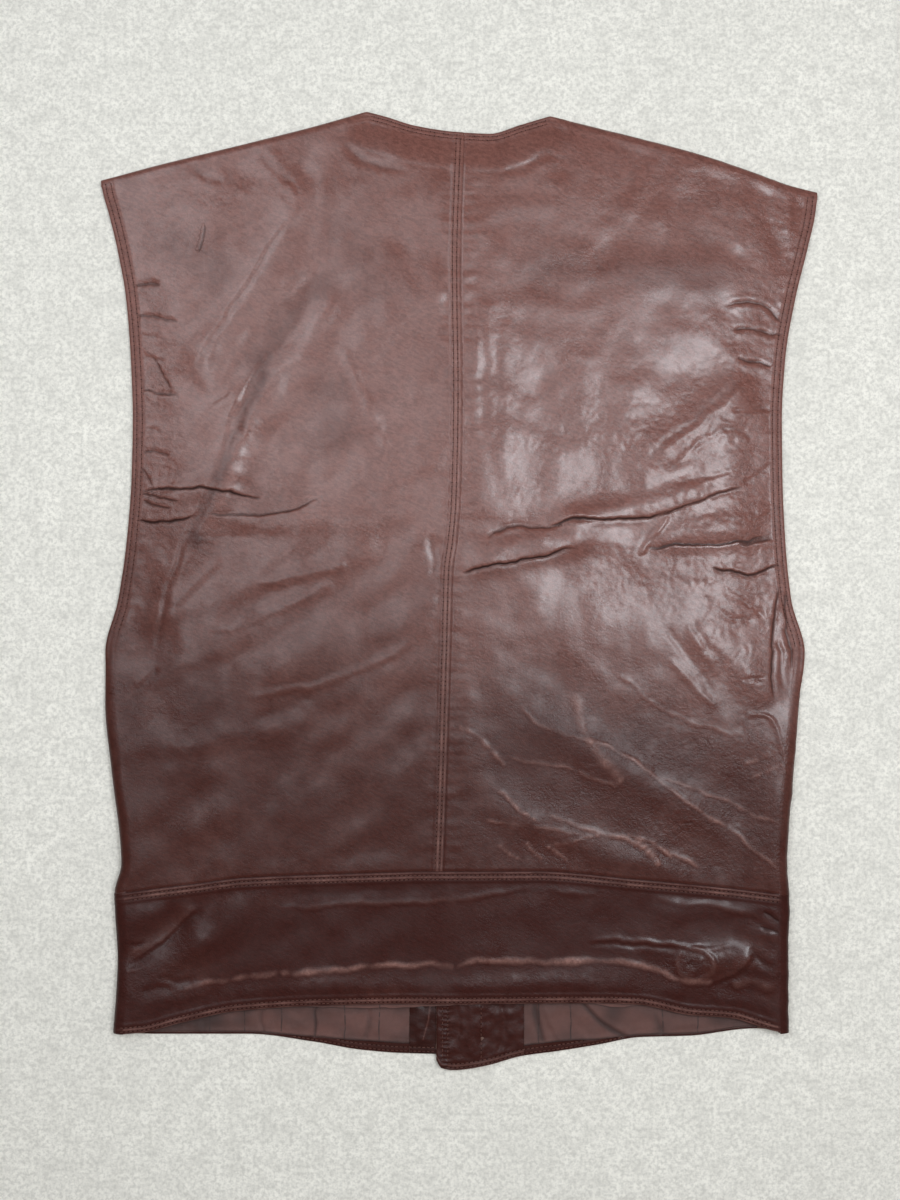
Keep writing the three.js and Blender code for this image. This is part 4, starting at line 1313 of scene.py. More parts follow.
def back_band(material):
    left_x, right_x = (float(edge_at[side](WAIST_Y["side"])) for side in SIDES)
    plan = between(
        even_in_x(BACK_HEM[0][0], BACK_HEM[-1][0], back_hem_at),
        even_in_x(left_x, right_x, waist_at, -SEAM_SLIT),
        even_in_y(BACK_HEM[0][1], float(waist_at(left_x)) - SEAM_SLIT, edge_at["left"]),
        even_in_y(BACK_HEM[-1][1], float(waist_at(right_x)) - SEAM_SLIT, edge_at["right"]),
    )
    half = (right_x - left_x) / 2 - EDGE_STRIP
    columns = stations(half, BAND_PACE, (), BACK_END, FOLD_COLUMNS["band"])
    rows = stations(LONG["back_band"], BAND_PACE, HEM_STEPS, SEAM_STEPS)
    grids = []
    for side, outer_share in (("left", 0.0), ("right", 1.0)):
        points, still = place(plan, side, columns, rows, True, 0.0, None, 0.5, outer_share)
        calm = beside_seams(points, side, has_top=False)
        grids.append(np.concatenate([points, still[..., None], calm[..., None]], axis=-1))
    whole = np.concatenate([grids[0][:, :0:-1], grids[1]], axis=1)
    points, still, calm = whole[..., :3], whole[..., 3], whole[..., 4]
    x, y = points[..., 0], points[..., 1]
    points = raised(points, True, relief(x, y) * calm)
    piece = sheet_piece("back_band_leather", points, True, LEATHER, "back_band", material)
    finish_paint(piece, x, y, still)
    return piece


def v_neck(side):
    neck_x = NECK_POINT[side]
    front_x = FRONT_EDGE[side]

    def edge(x):
        share = (x - front_x) / (neck_x - front_x)
        return np.where(share < 1.0, mix(V_NECK_Y, top_at(neck_x), share), top_at(x))

    return edge


def front_creases(side, x, y):
    """Dents in the underside of a front: it lies on them, so nothing there stands out."""
    shift_x, shift_y = FRONT_CREASE_SHIFT[side]
    wx, wy = wavering(-OUTWARD[side] * x + shift_x, y + shift_y)
    total = np.zeros(np.shape(x))
    for depth, half, way in FRONT_CREASES:
        near, distance, share = near_way(wx, wy, way, half * 5.0)
        total[near] += depth * bell(distance, half) * dying_away(share, 0.25, 0.25)
    return total


def front_rows(side):
    """The stitched edges of a front's panel: how each point's distance from them is found."""
    top_of = v_neck(side)
    front_x = FRONT_EDGE[side]

    def distances(x, y):
        from_neck = (top_of(x) - y) / tilt(top_of, x)
        from_armhole = OUTWARD[side] * (edge_at[side](y) - x) / tilt(edge_at[side], y)
        from_opening = OUTWARD[side] * (x - front_x)
        return from_neck, from_armhole, from_opening

    return distances


def front_relief(side, points, still, body):
    """Slack leather on the turned edges of a front, and dents in the flat that it rests on."""
    x, y, z = points[..., 0], points[..., 1], points[..., 2]
    wave = 0.35 * cloud(x, y, 9.0, 31) + 0.5 * cloud(y, z * 2.0, 26.0, 32)
    total = wave * ease((z - 2.0) / 5.0) * still
    from_neck, from_armhole, from_opening = front_rows(side)(x, y)
    from_waist = np.abs(y - waist_at(x)) / tilt(waist_at, x)
    flat = 1.0 - still
    rows = groove(from_opening, NECK_ROWS)
    if body:
        folded = folded_at(side, y)
        shoulder = shoulder_at(side, x)
        rows = rows + groove(from_neck, NECK_ROWS) * (1.0 - shoulder)
        rows = rows + groove(from_armhole, ARMHOLE_ROWS) * (1.0 - folded)
        loose = ease((np.minimum(np.minimum(from_neck, from_armhole), from_opening) - 8.0) / 14.0)
        soft = 0.5 * np.maximum(cloud(x, y, 38.0, 33), 0.0) + 0.3 * np.maximum(cloud(x, y, 15.0, 34), 0.0)
        total = total - flat * loose * (soft + front_creases(side, x, y))
    else:
        rows = rows + groove((y - front_hem_at[side](x)) / tilt(front_hem_at[side], x), HEM_ROWS)
        rows = rows + groove(from_waist, SEAM_ROWS)
    return total + flat * rows


def front_paint(side, piece, points, still):
    """What the leather's finish reads on the outer face of a front."""
    x, y = points[..., 0], points[..., 1]
    from_neck, from_armhole, from_opening = front_rows(side)(x, y)
    body = y > waist_at(x)
    edge = np.where(body, np.minimum(from_neck, from_armhole), np.inf)
    # Painted shade in the creases of the front.
    paint(piece, "wear_highlight_and_shade", -0.8 * front_creases(side, x, y) * (1.0 - still) * body)
    paint(piece, "fade", fade(x, y))
    paint(piece, "crumpled", crumpled(x, y) * 0.6)
    paint(piece, "line", np.full(x.shape, LINE_REACH))
    paint(piece, "strip", ease((9.0 - np.minimum(edge, from_opening)) / 2.0) * (1.0 - still))


def front_piece(side, node, points, still, material, behind):
    """A panel of a front, laid no lower than the floor."""
    points[..., 2] = np.maximum(points[..., 2], 0.0)
    piece = sheet_piece(f"{node}_leather", points, False, LEATHER, node, material, behind)
    front_paint(side, piece, points, still)
    return piece


def front_panel(side, material, behind):
    front_x = FRONT_EDGE[side]
    side_x = float(edge_at[side](WAIST_Y["side"]))
    tip_x, tip_y = TIP[side]
    top_of = v_neck(side)
    plan = between(
        even_in_x(front_x, side_x, waist_at, SEAM_SLIT),
        even_in_x(front_x, tip_x, top_of),
        upright(front_x, float(waist_at(front_x)) + SEAM_SLIT, V_NECK_Y),
        even_in_y(float(waist_at(side_x)) + SEAM_SLIT, tip_y, edge_at[side]),
    )
    wide = abs(side_x - front_x) - EDGE_STRIP
    columns = stations(wide, FRONT_PACE, (), FRONT_END, FOLD_COLUMNS["front"])
    rows = stations(LONG["front"], FRONT_PACE, FRONT_END[:1], FRONT_END, FOLD_ROWS["front"])
    points, still = place(plan, side, columns, rows, False, TOP_STRIP, top_of)
    points = raised(points, False, front_relief(side, points, still, True) * beside_seams(points, side))
    return front_piece(side, f"front_{side}", points, still, material, behind)


def front_band(side, material, behind):
    front_x = FRONT_EDGE[side]
    side_x = float(edge_at[side](WAIST_Y["side"]))
    hem = front_hem_at[side]
    corner_x, corner_y = LEFT_HEM[0] if side == "left" else RIGHT_HEM[-1]
    plan = between(
        even_in_x(front_x, corner_x, hem),
        even_in_x(front_x, side_x, waist_at, -SEAM_SLIT),
        upright(front_x, float(hem(front_x)), float(waist_at(front_x)) - SEAM_SLIT),
        even_in_y(corner_y, float(waist_at(side_x)) - SEAM_SLIT, edge_at[side]),
    )
    wide = abs(side_x - front_x) - EDGE_STRIP
    columns = stations(wide, FRONT_BAND_PACE, FRONT_BAND_START, FRONT_END, FOLD_COLUMNS["front"])
    rows = stations(LONG["front_band"], FRONT_BAND_PACE, HEM_STEPS[1:8], FRONT_END)
    points, still = place(plan, side, columns, rows, False, 0.0, None)
    calm = beside_seams(points, side, has_top=False)
    points = raised(points, False, front_relief(side, points, still, False) * calm)
    return front_piece(side, f"front_band_{side}", points, still, material, behind)


def hem_turn_at(side, x):
    share = (x + 145) / 90 if side == "left" else (138 - x) / 75
    return mix(HEM_LIP, HEM_TURN, ease(share))


def inside_top(side, x):
    """Height of what lies on the inside of a front waistband."""
    return front_lift(side, x) + LEATHER + SEAM_GAP + THIN


def inside_relief(side, x, y):
    """How the lining and the facings rise and dip: creases, slack, and drawn in along the hem."""
    hem = y - front_hem_at[side](x)
    total = np.zeros(np.shape(x))
    for depth, half, way in INSIDE_CREASES:
        distance, share = along_way(x, y, rounded_way(way))
        lip = 0.5 * abs(depth) * bell(distance - 1.8 * half, 1.3 * half)
        total = total + (lip - depth * bell(distance, half * 0.8)) * ease(share / 0.2)
    total = total + 0.7 * cloud(x, y, 21.0, 51) + 0.3 * cloud(x, y, 8.0, 52)
    total = total + 0.3 * cloud(x, y * 0.4, 4.6, 53) * bell(np.maximum(hem - 5.0, 0.0), 8.0)
    total = total - 0.7 * bell(y - back_hem_at(x) - 2.0, 6.0)
    return np.clip(total, -1.1, 1.6)


def lip_hang(x):
    """How far the lip of the back's lining hangs out below the back hem."""
    return np.maximum(3.0 * (bell(x + 55, 50) + bell(x - 118, 14)) + 0.5 * cloud(x, 0 * x, 9.0, 56), 0.0)


def inside_shade(side, x, y):
    """Painted shade on the lining: darkest in its creases, along its hem, under the back's hem and where it
    runs out to the sides, with soft blotches of it."""
    under_back = back_hem_at(x) - lip_hang(x) - y
    total = np.maximum(bell(under_back - 0.3, 1.3), 0.45 * bell(under_back, 6.0))
    total = np.maximum(total, 0.75 * ease((-120.0 - x) / 90.0) + 0.4 * ease((x - 130.0) / 80.0))
    hem = y - front_hem_at[side](x) - hem_turn_at(side, x)
    total = np.maximum(total, 0.95 * bell(hem - 0.4, 1.0))
    for depth, half, way in INSIDE_CREASES:
        distance, share = along_way(x, y, rounded_way(way))
        total = np.maximum(total, min(1.0, max(depth, 0.0)) * bell(distance, 1.1 * half) * ease(share / 0.1))
    soft = np.maximum(cloud(x, y, 17.0, 67), 0.0) * 0.65
    return np.clip(total + soft, 0.0, 1.0)


def facing_relief(side, x, y):
    """Loose dents and puckers of a facing, which shine where they turn to the light."""
    dents = 0.8 * cloud(x, y, 13.0, 58) + 0.4 * cloud(x, y, 6.0, 59)
    return 0.7 * inside_relief(side, x, y) + dents * ease((y - front_hem_at[side](x) - 5.0) / 4.0)


def placket_ladder(x, y):
    """Ribs, one to a stitch, that are drawn up between the two rows beside the opening."""
    return np.cos(2 * math.pi * y / STITCH_PITCH) * bell(x - PLACKET_MIDDLE, PLACKET_HALF)


def placket_pucker(x, y):
    """The facing is drawn up tight between its two rows beside the opening."""
    loose = 0.5 * cloud(x * 0.5, y, 5.0, 55) * bell(x - PLACKET_MIDDLE, 5.0)
    at_fold = 0.3 * cloud(x * 0.4, y, 4.4, 60) * bell(x - PLACKET_FOLD, 4.0)
    return loose - 0.3 * placket_ladder(x, y) + at_fold


def placket_rows(x):
    """The grooves of the rows that run up the facing of the right front."""
    total = 0.0
    for row in PLACKET_ROWS:
        total = total - STITCH_GROOVE * bell(x - row, 0.8)
    return total


def facing(side, material):
    edge = FRONT_EDGE[side] + OUTWARD[side] * FACING_INSET
    ends = sorted((edge, FACING_EDGE[side]))
    xs = np.append(np.arange(*ends, FACING_PACE), ends[1])
    hem = front_hem_at[side]
    share, _ = stations(INSIDE_LONG["facing"], FACING_PACE, HEM_STEPS)
    x, y = np.broadcast_arrays(xs, mix(hem(xs) + FACING_INSET, INSIDE_TOP, share[:, None]))
    from_hem = y - hem(x)
    z = inside_top(side, x) + facing_relief(side, x, y) + groove(from_hem, HEM_ROWS)
    z = z - rounded_off(from_hem - FACING_INSET, FACING_ROUND, FACING_ROUND_DROP)
    if side == "right":
        z = z + placket_rows(x) * ease((from_hem - 4.0) / 3.0)
        z = z + placket_pucker(x, y)
        z = z - rounded_off(x - edge, FACING_ROUND, FACING_ROUND_DROP)
    points = np.stack([x, y, z], axis=-1)
    name = f"facing_{side}_leather"
    piece = sheet_piece(name, points, True, INNER_WALL, f"facing_{side}", material)
    paint(piece, "crumpled", np.full(x.shape, FACING_CRUMPLED))
    # Painted shade and highlight on the facings, and wear on the right one's ribs.
    paint(piece, "wear_highlight_and_shade", facing_wear_highlight_and_shade(side, x, y))
    return piece


def facing_wear_highlight_and_shade(side, x, y):
    """The left facing is painted dark as shade, since it lies in the right front's shade, with a painted
    highlight along one line; the right one is worn lighter on its ribs, with painted shade between its
    puckers.
    """
    if side == "left":
        off, _ = along_way(x, y, LEFT_FACING_HIGHLIGHT)
        return 1.7 * bell(off, 0.9) - 1.0
    hem = y - front_hem_at[side](x)
    ribs_and_ladder_shade = 0.7 * rib_between(hem, HEM_ROWS) - 0.9 * np.maximum(placket_ladder(x, y), 0.0)
    return np.clip(ribs_and_ladder_shade, -1.0, 1.0)


def inside_strip(side, part, material):
    """The turned hem, or the lining, of one front: they lie side by side along the hem."""
    xs = np.arange(0.0, abs(INSIDE_END[side] - FACING_EDGE[side]) - SEAM_GAP, INSIDE_PACE)
    xs = np.sort(FACING_EDGE[side] + OUTWARD[side] * (xs + SEAM_GAP))
    hem = front_hem_at[side](xs)
    turn = hem + hem_turn_at(side, xs)
    is_hem = part == "hem"
    low, high = (hem + SEAM_GAP, turn) if is_hem else (turn + SEAM_GAP, INSIDE_TOP)
    share, _ = stations(INSIDE_LONG[part], INSIDE_PACE, TURNED_HEM_STEPS if is_hem else LINING_STEPS)
    x, y = np.broadcast_arrays(xs, mix(low, high, share[:, None]))
    z = inside_top(side, x) + inside_relief(side, x, y) * (0.5 if is_hem else 1.0)
    if is_hem:
        z = z + groove(y - hem, HEM_ROWS) - rounded_off(y - low, 1.0, 0.5)
    else:
        z = z + 0.35 * bell(y - turn - 1.4, 1.2)
    points = np.stack([x, y, z], axis=-1)
    name = f"{part}_{side}_" + ("leather" if is_hem else "cloth")
    piece = sheet_piece(name, points, True, INNER_WALL, f"{part}_{side}", material)
    # Painted shade on the lining, none on the turned hem.
    paint(piece, "deep", inside_shade(side, x, y) * (not is_hem))
    return piece


def back_lining(material):
    """The lip of the back's lining that hangs out below the back hem."""
    xs = np.linspace(BACK_LINING["left"], BACK_LINING["right"], BACK_LINING["columns"])
    share = np.linspace(0.0, 1.0, BACK_LINING["rows"])[:, None]
    low, high = back_hem_at(xs) - lip_hang(xs), back_hem_at(xs) + BACK_LINING["depth"]
    y = mix(low[None, :], high[None, :], share)
    x = np.broadcast_to(xs[None, :], y.shape)
    z = back_rise(x, y) - LEATHER - 2 * SEAM_GAP - 0.4 + 0.25 * cloud(x, y * 0.3, 7.0, 57)
    points = np.stack([x, y, z], axis=-1)
    piece = sheet_piece("lining_back_cloth", points, True, INNER_WALL, "lining_back", material)
    # Painted shade on the lining's lip just under the back hem.
    paint(piece, "deep", 0.9 * ease((y - back_hem_at(x) + 1.2) / 1.2))
    return piece


def spaced(way, pitch):
    """Points a stitch apart along a way, with the direction there."""
    way = np.asarray(way, float)
    steps = np.linalg.norm(np.diff(way, axis=0), axis=1)
    at = np.concatenate([[0.0], np.cumsum(steps)])
    count = max(int(at[-1] / pitch), 1)
    wanted = (np.arange(count) + 0.5) * at[-1] / count
    points = np.stack([np.interp(wanted, at, way[:, k]) for k in range(way.shape[1])], axis=1)
    ahead = np.stack([np.interp(wanted + 0.6, at, way[:, k]) for k in range(way.shape[1])], axis=1)
    behind = np.stack([np.interp(wanted - 0.6, at, way[:, k]) for k in range(way.shape[1])], axis=1)
    direction = ahead - behind
    direction /= np.linalg.norm(direction, axis=1, keepdims=True)
    return points, direction


def row_on_back(xs, ys):
    """A row of stitches lying on the back through the given places."""
    zs = back_top(np.asarray(xs, float), np.asarray(ys, float)) + STITCH_STAND
    return np.stack([xs, ys, zs], axis=1)


def stitch_piece(name, rows, materials, up=1):
    """Every stitch of several rows as one piece: short threads that dip into holes at both ends."""
    vertices, faces, kinds = [], [], []
    chance = np.random.default_rng(17)
    round_stitch = [2 * math.pi * k / STITCH_SIDES for k in range(STITCH_SIDES)]
    for way in rows:
        points, directions = spaced(way, STITCH_PITCH)
        for point, direction in zip(points, directions):
            across = np.cross(direction, (0.0, 0.0, up))
            across /= np.linalg.norm(across)
            upward = np.cross(across, direction)
            length = STITCH_LENGTH * chance.uniform(*STITCH_UNEVEN)
            slant = across * chance.uniform(-STITCH_SLANT, STITCH_SLANT)
            first = len(vertices)
            for along, width, drop in STITCH_RINGS:
                middle = point + (direction + slant) * along * length + upward * drop * STITCH_WIDTH
                for turn in round_stitch:
                    out = across * math.cos(turn) + upward * STITCH_FLAT * math.sin(turn)
                    vertices.append(middle + out * width * STITCH_WIDTH / 2)
            for ring in range(len(STITCH_RINGS) - 1):
                for k in range(STITCH_SIDES):
                    a = first + ring * STITCH_SIDES + k
                    b = first + ring * STITCH_SIDES + (k + 1) % STITCH_SIDES
                    faces.append((a, b, b + STITCH_SIDES, a + STITCH_SIDES))
            last = first + (len(STITCH_RINGS) - 1) * STITCH_SIDES
            faces.append(tuple(first + k for k in range(STITCH_SIDES))[::-1])
            faces.append(tuple(last + k for k in range(STITCH_SIDES)))
            kinds += [0] * ((len(STITCH_RINGS) - 1) * STITCH_SIDES + 2)
            # A dark disc in the needle's hole, as painted shade.
            hole = point + direction * STITCH_PITCH / 2 - upward * 0.02
            first = len(vertices)
            for turn in round_stitch:
                vertices.append(hole + (across * math.cos(turn) + direction * math.sin(turn)) * STITCH_HOLE)
            faces.append(tuple(first + k for k in range(STITCH_SIDES))[::-1])
            kinds.append(1)
    return whole_piece(name, vertices, faces, kinds, materials)


def beside(curve, at, offset):
    """A line beside a curve that runs across, offset downwards square to it: its x and y."""
    slope = slope_of(curve, at)
    stretch = np.hypot(1.0, slope)
    return at + offset * slope / stretch, curve(at) - offset / stretch


def armhole_row(side, row):
    """Places a row's distance in from an armhole's edge, from the underarm to the shoulder."""
    ys = np.arange(UNDERARM[side] + 4.0, TIP[side][1] - 3.0, WAY_PACE)
    slope = slope_of(edge_at[side], ys)
    stretch = np.hypot(1.0, slope)
    x = edge_at[side](ys) - OUTWARD[side] * row / stretch
    y = ys + OUTWARD[side] * row * slope / stretch
    keep = (y < top_at(x) - 2.5) & (y > UNDERARM[side] - 2.0)
    return x[keep], y[keep]


def back_stitching(materials):
    """The sewing on the back's three panels, each piece with the panel that it lies on."""
    rows = {"left": [], "right": [], "band": []}
    ys = np.arange(*SEWN_SEAM, WAY_PACE)
    for row in SEAM_ROWS:
        rows["left"].append(row_on_back(seam_at(ys) - row, ys))
        rows["band"].append(row_on_back(*beside(waist_at, np.arange(*SEWN_WAIST, WAY_PACE), row)))
    for row in HEM_ROWS:
        rows["band"].append(row_on_back(*beside(back_hem_at, np.arange(*SEWN_HEM, WAY_PACE), -row)))
    for side in SIDES:
        for row in ARMHOLE_ROWS:
            rows[side].append(row_on_back(*armhole_row(side, row)))
        for row in NECK_ROWS:
            rows[side].append(row_on_back(*beside(neck_edge, np.arange(*SEWN_NECK[side], 1.0), row)))
    return {part: stitch_piece(f"stitching_back_{part}", rows[part], materials) for part in rows}


def inside_stitching(side, materials):
    """The sewing that shows on the inside of a front's waistband: along its hem and up its facing."""
    rows = []
    for row in HEM_ROWS:
        x, y = beside(front_hem_at[side], np.arange(*SEWN_INSIDE[side], 1.0), -row)
        covered = row > hem_turn_at(side, x) - 0.4
        on_facing = OUTWARD[side] * (FACING_EDGE[side] - x) > 0
        keep = on_facing | ~covered
        x, y = x[keep], y[keep]
        over = np.where(on_facing[keep], facing_relief(side, x, y), 0.5 * inside_relief(side, x, y))
        z = inside_top(side, x) + over - STITCH_GROOVE + INSIDE_STITCH_STAND
        rows.append(np.stack([x, y, z], axis=1))
    for row in PLACKET_ROWS if side == "right" else ():
        y = np.arange(-352.0 if row < 0 else -350.0, -300.0, 1.0)
        x = np.full(y.shape, row)
        z = inside_top(side, x) + facing_relief(side, x, y) - STITCH_GROOVE + INSIDE_STITCH_STAND
        z = z + placket_pucker(x, y)
        rows.append(np.stack([x, y, z], axis=1))
    return stitch_piece(f"stitching_inside_{side}", rows, materials)


def row_under(x, y):
    """A row of stitches in its groove in the underside."""
    return np.stack([x, y, np.full(np.shape(x), STITCH_GROOVE - STITCH_STAND)], axis=1)


def front_stitching(side, part, materials):
    """The sewing on the outer face of a front's panel or of its waistband."""
    out, front_x = OUTWARD[side], FRONT_EDGE[side]
    low = float(front_hem_at[side](front_x)) + 8.0 if part == "band" else WAIST_Y["middle"] + 4.0
    high = WAIST_Y["middle"] - 4.0 if part == "band" else V_NECK_Y - 4.0
    ys = np.arange(low, high, WAY_PACE)
    rows = [row_under(np.full(ys.shape, front_x + out * row), ys) for row in NECK_ROWS]
    ends = sorted((front_x + out * 6.0, out * SEWN_FRONT_SIDE))
    if part == "band":
        for row in SEAM_ROWS:
            rows.append(row_under(*beside(waist_at, np.arange(*ends, WAY_PACE), row)))
        for row in HEM_ROWS:
            rows.append(row_under(*beside(front_hem_at[side], np.arange(*ends, WAY_PACE), -row)))
    else:
        ends = sorted((front_x + out * 6.0, NECK_POINT[side] - out * 2.0))
        for row in NECK_ROWS:
            rows.append(row_under(*beside(v_neck(side), np.arange(*ends, WAY_PACE), row)))
        for row in ARMHOLE_ROWS:
            rows.append(row_under(*armhole_row(side, row)))
    name = f"stitching_front_{side}" if part == "panel" else f"stitching_front_band_{side}"
    return stitch_piece(name, rows, materials, up=-1)


def add(tree, kind, inputs=None, **settings):
    """A shader node with its settings, and each input either a value or another node's output."""
    made = tree.nodes.new(kind)
    for name, value in settings.items():
        setattr(made, name, value)
    for key, value in (inputs or {}).items():
        if isinstance(value, bpy.types.NodeSocket):
            tree.links.new(value, made.inputs[key])
        else:
            made.inputs[key].default_value = value
    return made


def rgba(colour):
    return (*colour, 1.0)


def blend(tree, share, a, b, way="MIX"):
    """Two colours mixed by a share, which may be another node's output."""
    made = add(tree, "ShaderNodeMix", data_type="RGBA", blend_type=way, clamp_factor=True)
    for socket, value in ((0, share), (6, a), (7, b)):
        if isinstance(value, bpy.types.NodeSocket):
            tree.links.new(value, made.inputs[socket])
        else:
            made.inputs[socket].default_value = value
    return made.outputs[2]


def sum_of(tree, a, b, how="ADD"):
    return add(tree, "ShaderNodeMath", {0: a, 1: b}, operation=how).outputs[0]


def times(tree, a, b):
    return sum_of(tree, a, b, "MULTIPLY")


def less(tree, a, b):
    return sum_of(tree, a, b, "SUBTRACT")


def away_from(tree, value, middle):
    """How far a value is from a middle value, either way."""
    return add(tree, "ShaderNodeMath", {0: less(tree, value, middle)}, operation="ABSOLUTE").outputs[0]


def on_object(tree):
    return add(tree, "ShaderNodeTexCoord").outputs["Object"]


def waves(tree, at, scale, distortion, way):
    inputs = {"Vector": at, "Scale": scale, "Distortion": distortion}
    return add(tree, "ShaderNodeTexWave", inputs, bands_direction=way).outputs["Fac"]


def ramp(tree, value, low, high, out_low=0.0, out_high=1.0):
    inputs = {"Value": value, "From Min": low, "From Max": high, "To Min": out_low, "To Max": out_high}
    return add(tree, "ShaderNodeMapRange", inputs, clamp=True).outputs["Result"]


def noise(tree, place_at, scale, detail=2.0, rough=0.5):
    inputs = {"Vector": place_at, "Scale": scale, "Detail": detail, "Roughness": rough}
    return add(tree, "ShaderNodeTexNoise", inputs).outputs["Fac"]


def node_group(name, inputs, outputs):
    tree = bpy.data.node_groups.new(name, "ShaderNodeTree")
    for direction, sockets in (("INPUT", inputs), ("OUTPUT", outputs)):
        for label, socket_type in sockets:
            tree.interface.new_socket(label, in_out=direction, socket_type=f"NodeSocket{socket_type}")
    return tree, add(tree, "NodeGroupInput").outputs, add(tree, "NodeGroupOutput").inputs


def leather_grain_group():
    """Pebbled grain of dyed hide: mottled colour, gloss that varies with it, and the grain's height."""
    inputs = [("Base", "Color"), ("Paled", "Color"), ("Dark", "Color"), ("Worn", "Color")]
    inputs += [(label, "Float") for label in PAINTED + ("Gloss", "Wear")]
    outputs = [("Color", "Color"), ("Roughness", "Float"), ("Coat", "Float"), ("Height", "Float")]
    tree, given, result = node_group("leather_grain", inputs, outputs)
    at = on_object(tree)
    broad = noise(tree, at, 14.0, 2.0)
    patchy = noise(tree, at, 48.0, 3.0, 0.55)
    fine = noise(tree, at, 430.0, 3.0, 0.6)
    waver = add(tree, "ShaderNodeTexNoise", {"Vector": at, "Scale": 500.0, "Detail": 1.0}).outputs["Color"]
    bent = add(tree, "ShaderNodeMix", {0: 0.0016, 4: at, 5: waver}, data_type="VECTOR").outputs[1]
    cells = add(tree, "ShaderNodeTexVoronoi", {"Vector": bent, "Scale": 1000.0}, feature="DISTANCE_TO_EDGE")
    pebble = ramp(tree, cells.outputs["Distance"], 0.0, 0.2)
    wide = noise(tree, at, 260.0, 2.0, 0.5)
    folds_wide = ramp(tree, away_from(tree, wide, 0.5), 0.0, FOLD_BAND)
    narrow = noise(tree, at, 620.0, 2.0, 0.5)
    folds_narrow = ramp(tree, away_from(tree, narrow, 0.5), 0.0, FOLD_BAND)
    folds = sum_of(tree, times(tree, folds_wide, 1.5), times(tree, folds_narrow, 0.7))
    broken = times(tree, folds, given["Crumpled"])
    close = noise(tree, at, 900.0, 2.0, 0.6)
    drawn_way = {"Vector": at, "Rotation": (0.0, 0.0, GRAIN_ANGLE), "Scale": GRAIN_STRETCH}
    drawn = add(tree, "ShaderNodeMapping", drawn_way, vector_type="TEXTURE").outputs[0]
    long_grain = noise(tree, drawn, 520.0, 3.0, 0.6)
    height = sum_of(tree, times(tree, pebble, 0.25), times(tree, fine, 1.1))
    height = sum_of(tree, height, times(tree, long_grain, 1.5))
    height = sum_of(tree, height, times(tree, close, 0.3))
    height = sum_of(tree, height, broken)
    off_line = away_from(tree, given["Line"], 0.0)
    line = times(tree, ramp(tree, off_line, 0.3, 1.3, 1.0, 0.0), given["Deep"])
    height = less(tree, height, times(tree, line, 6.0))
    # Paler from the waist up; along the streaks and in the waistband's patches the paler colour is painted
    # sheen, the darker one painted shade.
    paled = sum_of(tree, given["Fade"], ramp(tree, broad, 0.3, 0.7, -0.08, 0.08))
    paled = sum_of(tree, paled, ramp(tree, patchy, 0.3, 0.7, -0.09, 0.09))
    colour = blend(tree, paled, given["Base"], given["Paled"])
    colour = blend(tree, ramp(tree, pebble, 0.0, 1.0, 0.3, 0.0), colour, given["Dark"])
    colour = blend(tree, ramp(tree, long_grain, 0.38, 0.6, 0.3, 0.0), colour, given["Dark"])
    # Lighter with wear on raised parts; painted shade in creases, which are also duller and less coated.
    raised_part = ramp(tree, given["Wear_highlight_and_shade"], 0.05, 0.9)
    painted_shade_part = ramp(tree, given["Wear_highlight_and_shade"], -0.9, -0.05, 0.35, 0.0)
    worn = times(tree, raised_part, ramp(tree, fine, 0.3, 0.62, 0.45, 1.0))
    worn = times(tree, worn, given["Wear"])
    colour = blend(tree, worn, colour, given["Worn"])
    colour = blend(tree, painted_shade_part, colour, given["Dark"])
    # Painted shade along the sharp crease lines.
    colour = blend(tree, times(tree, line, 0.9), colour, given["Dark"])
    tree.links.new(colour, result["Color"])
    dull = ramp(tree, patchy, 0.3, 0.7, -0.07, 0.07)
    dull = sum_of(tree, dull, ramp(tree, broad, 0.3, 0.7, 0.05, -0.05))
    matt = sum_of(tree, sum_of(tree, given["Strip"], line), painted_shade_part)
    dull = sum_of(tree, dull, times(tree, matt, 0.16))
    dull = sum_of(tree, dull, ramp(tree, given["Fade"], 0.0, 0.8, 0.08, 0.0))
    tree.links.new(sum_of(tree, given["Gloss"], dull), result["Roughness"])
    polished = ramp(tree, given["Fade"], 0.0, MOST_FADE, 0.0, 0.6)
    polish = sum_of(tree, polished, ramp(tree, patchy, 0.35, 0.65, -0.08, 0.2))
    held = ramp(tree, sum_of(tree, given["Strip"], sum_of(tree, line, painted_shade_part)), 0.0, 1.0, 1.0, 0.12)
    tree.links.new(times(tree, polish, held), result["Coat"])
    tree.links.new(height, result["Height"])
    return tree


def new_material(name):
    material = bpy.data.materials.new(name)
    material.use_nodes = True
    shader = material.node_tree.nodes["Principled BSDF"]
    return material, material.node_tree, shader


def bump(tree, height, depth, strength=1.0):
    return add(tree, "ShaderNodeBump", {"Height": height, "Distance": depth, "Strength": strength}).outputs[0]


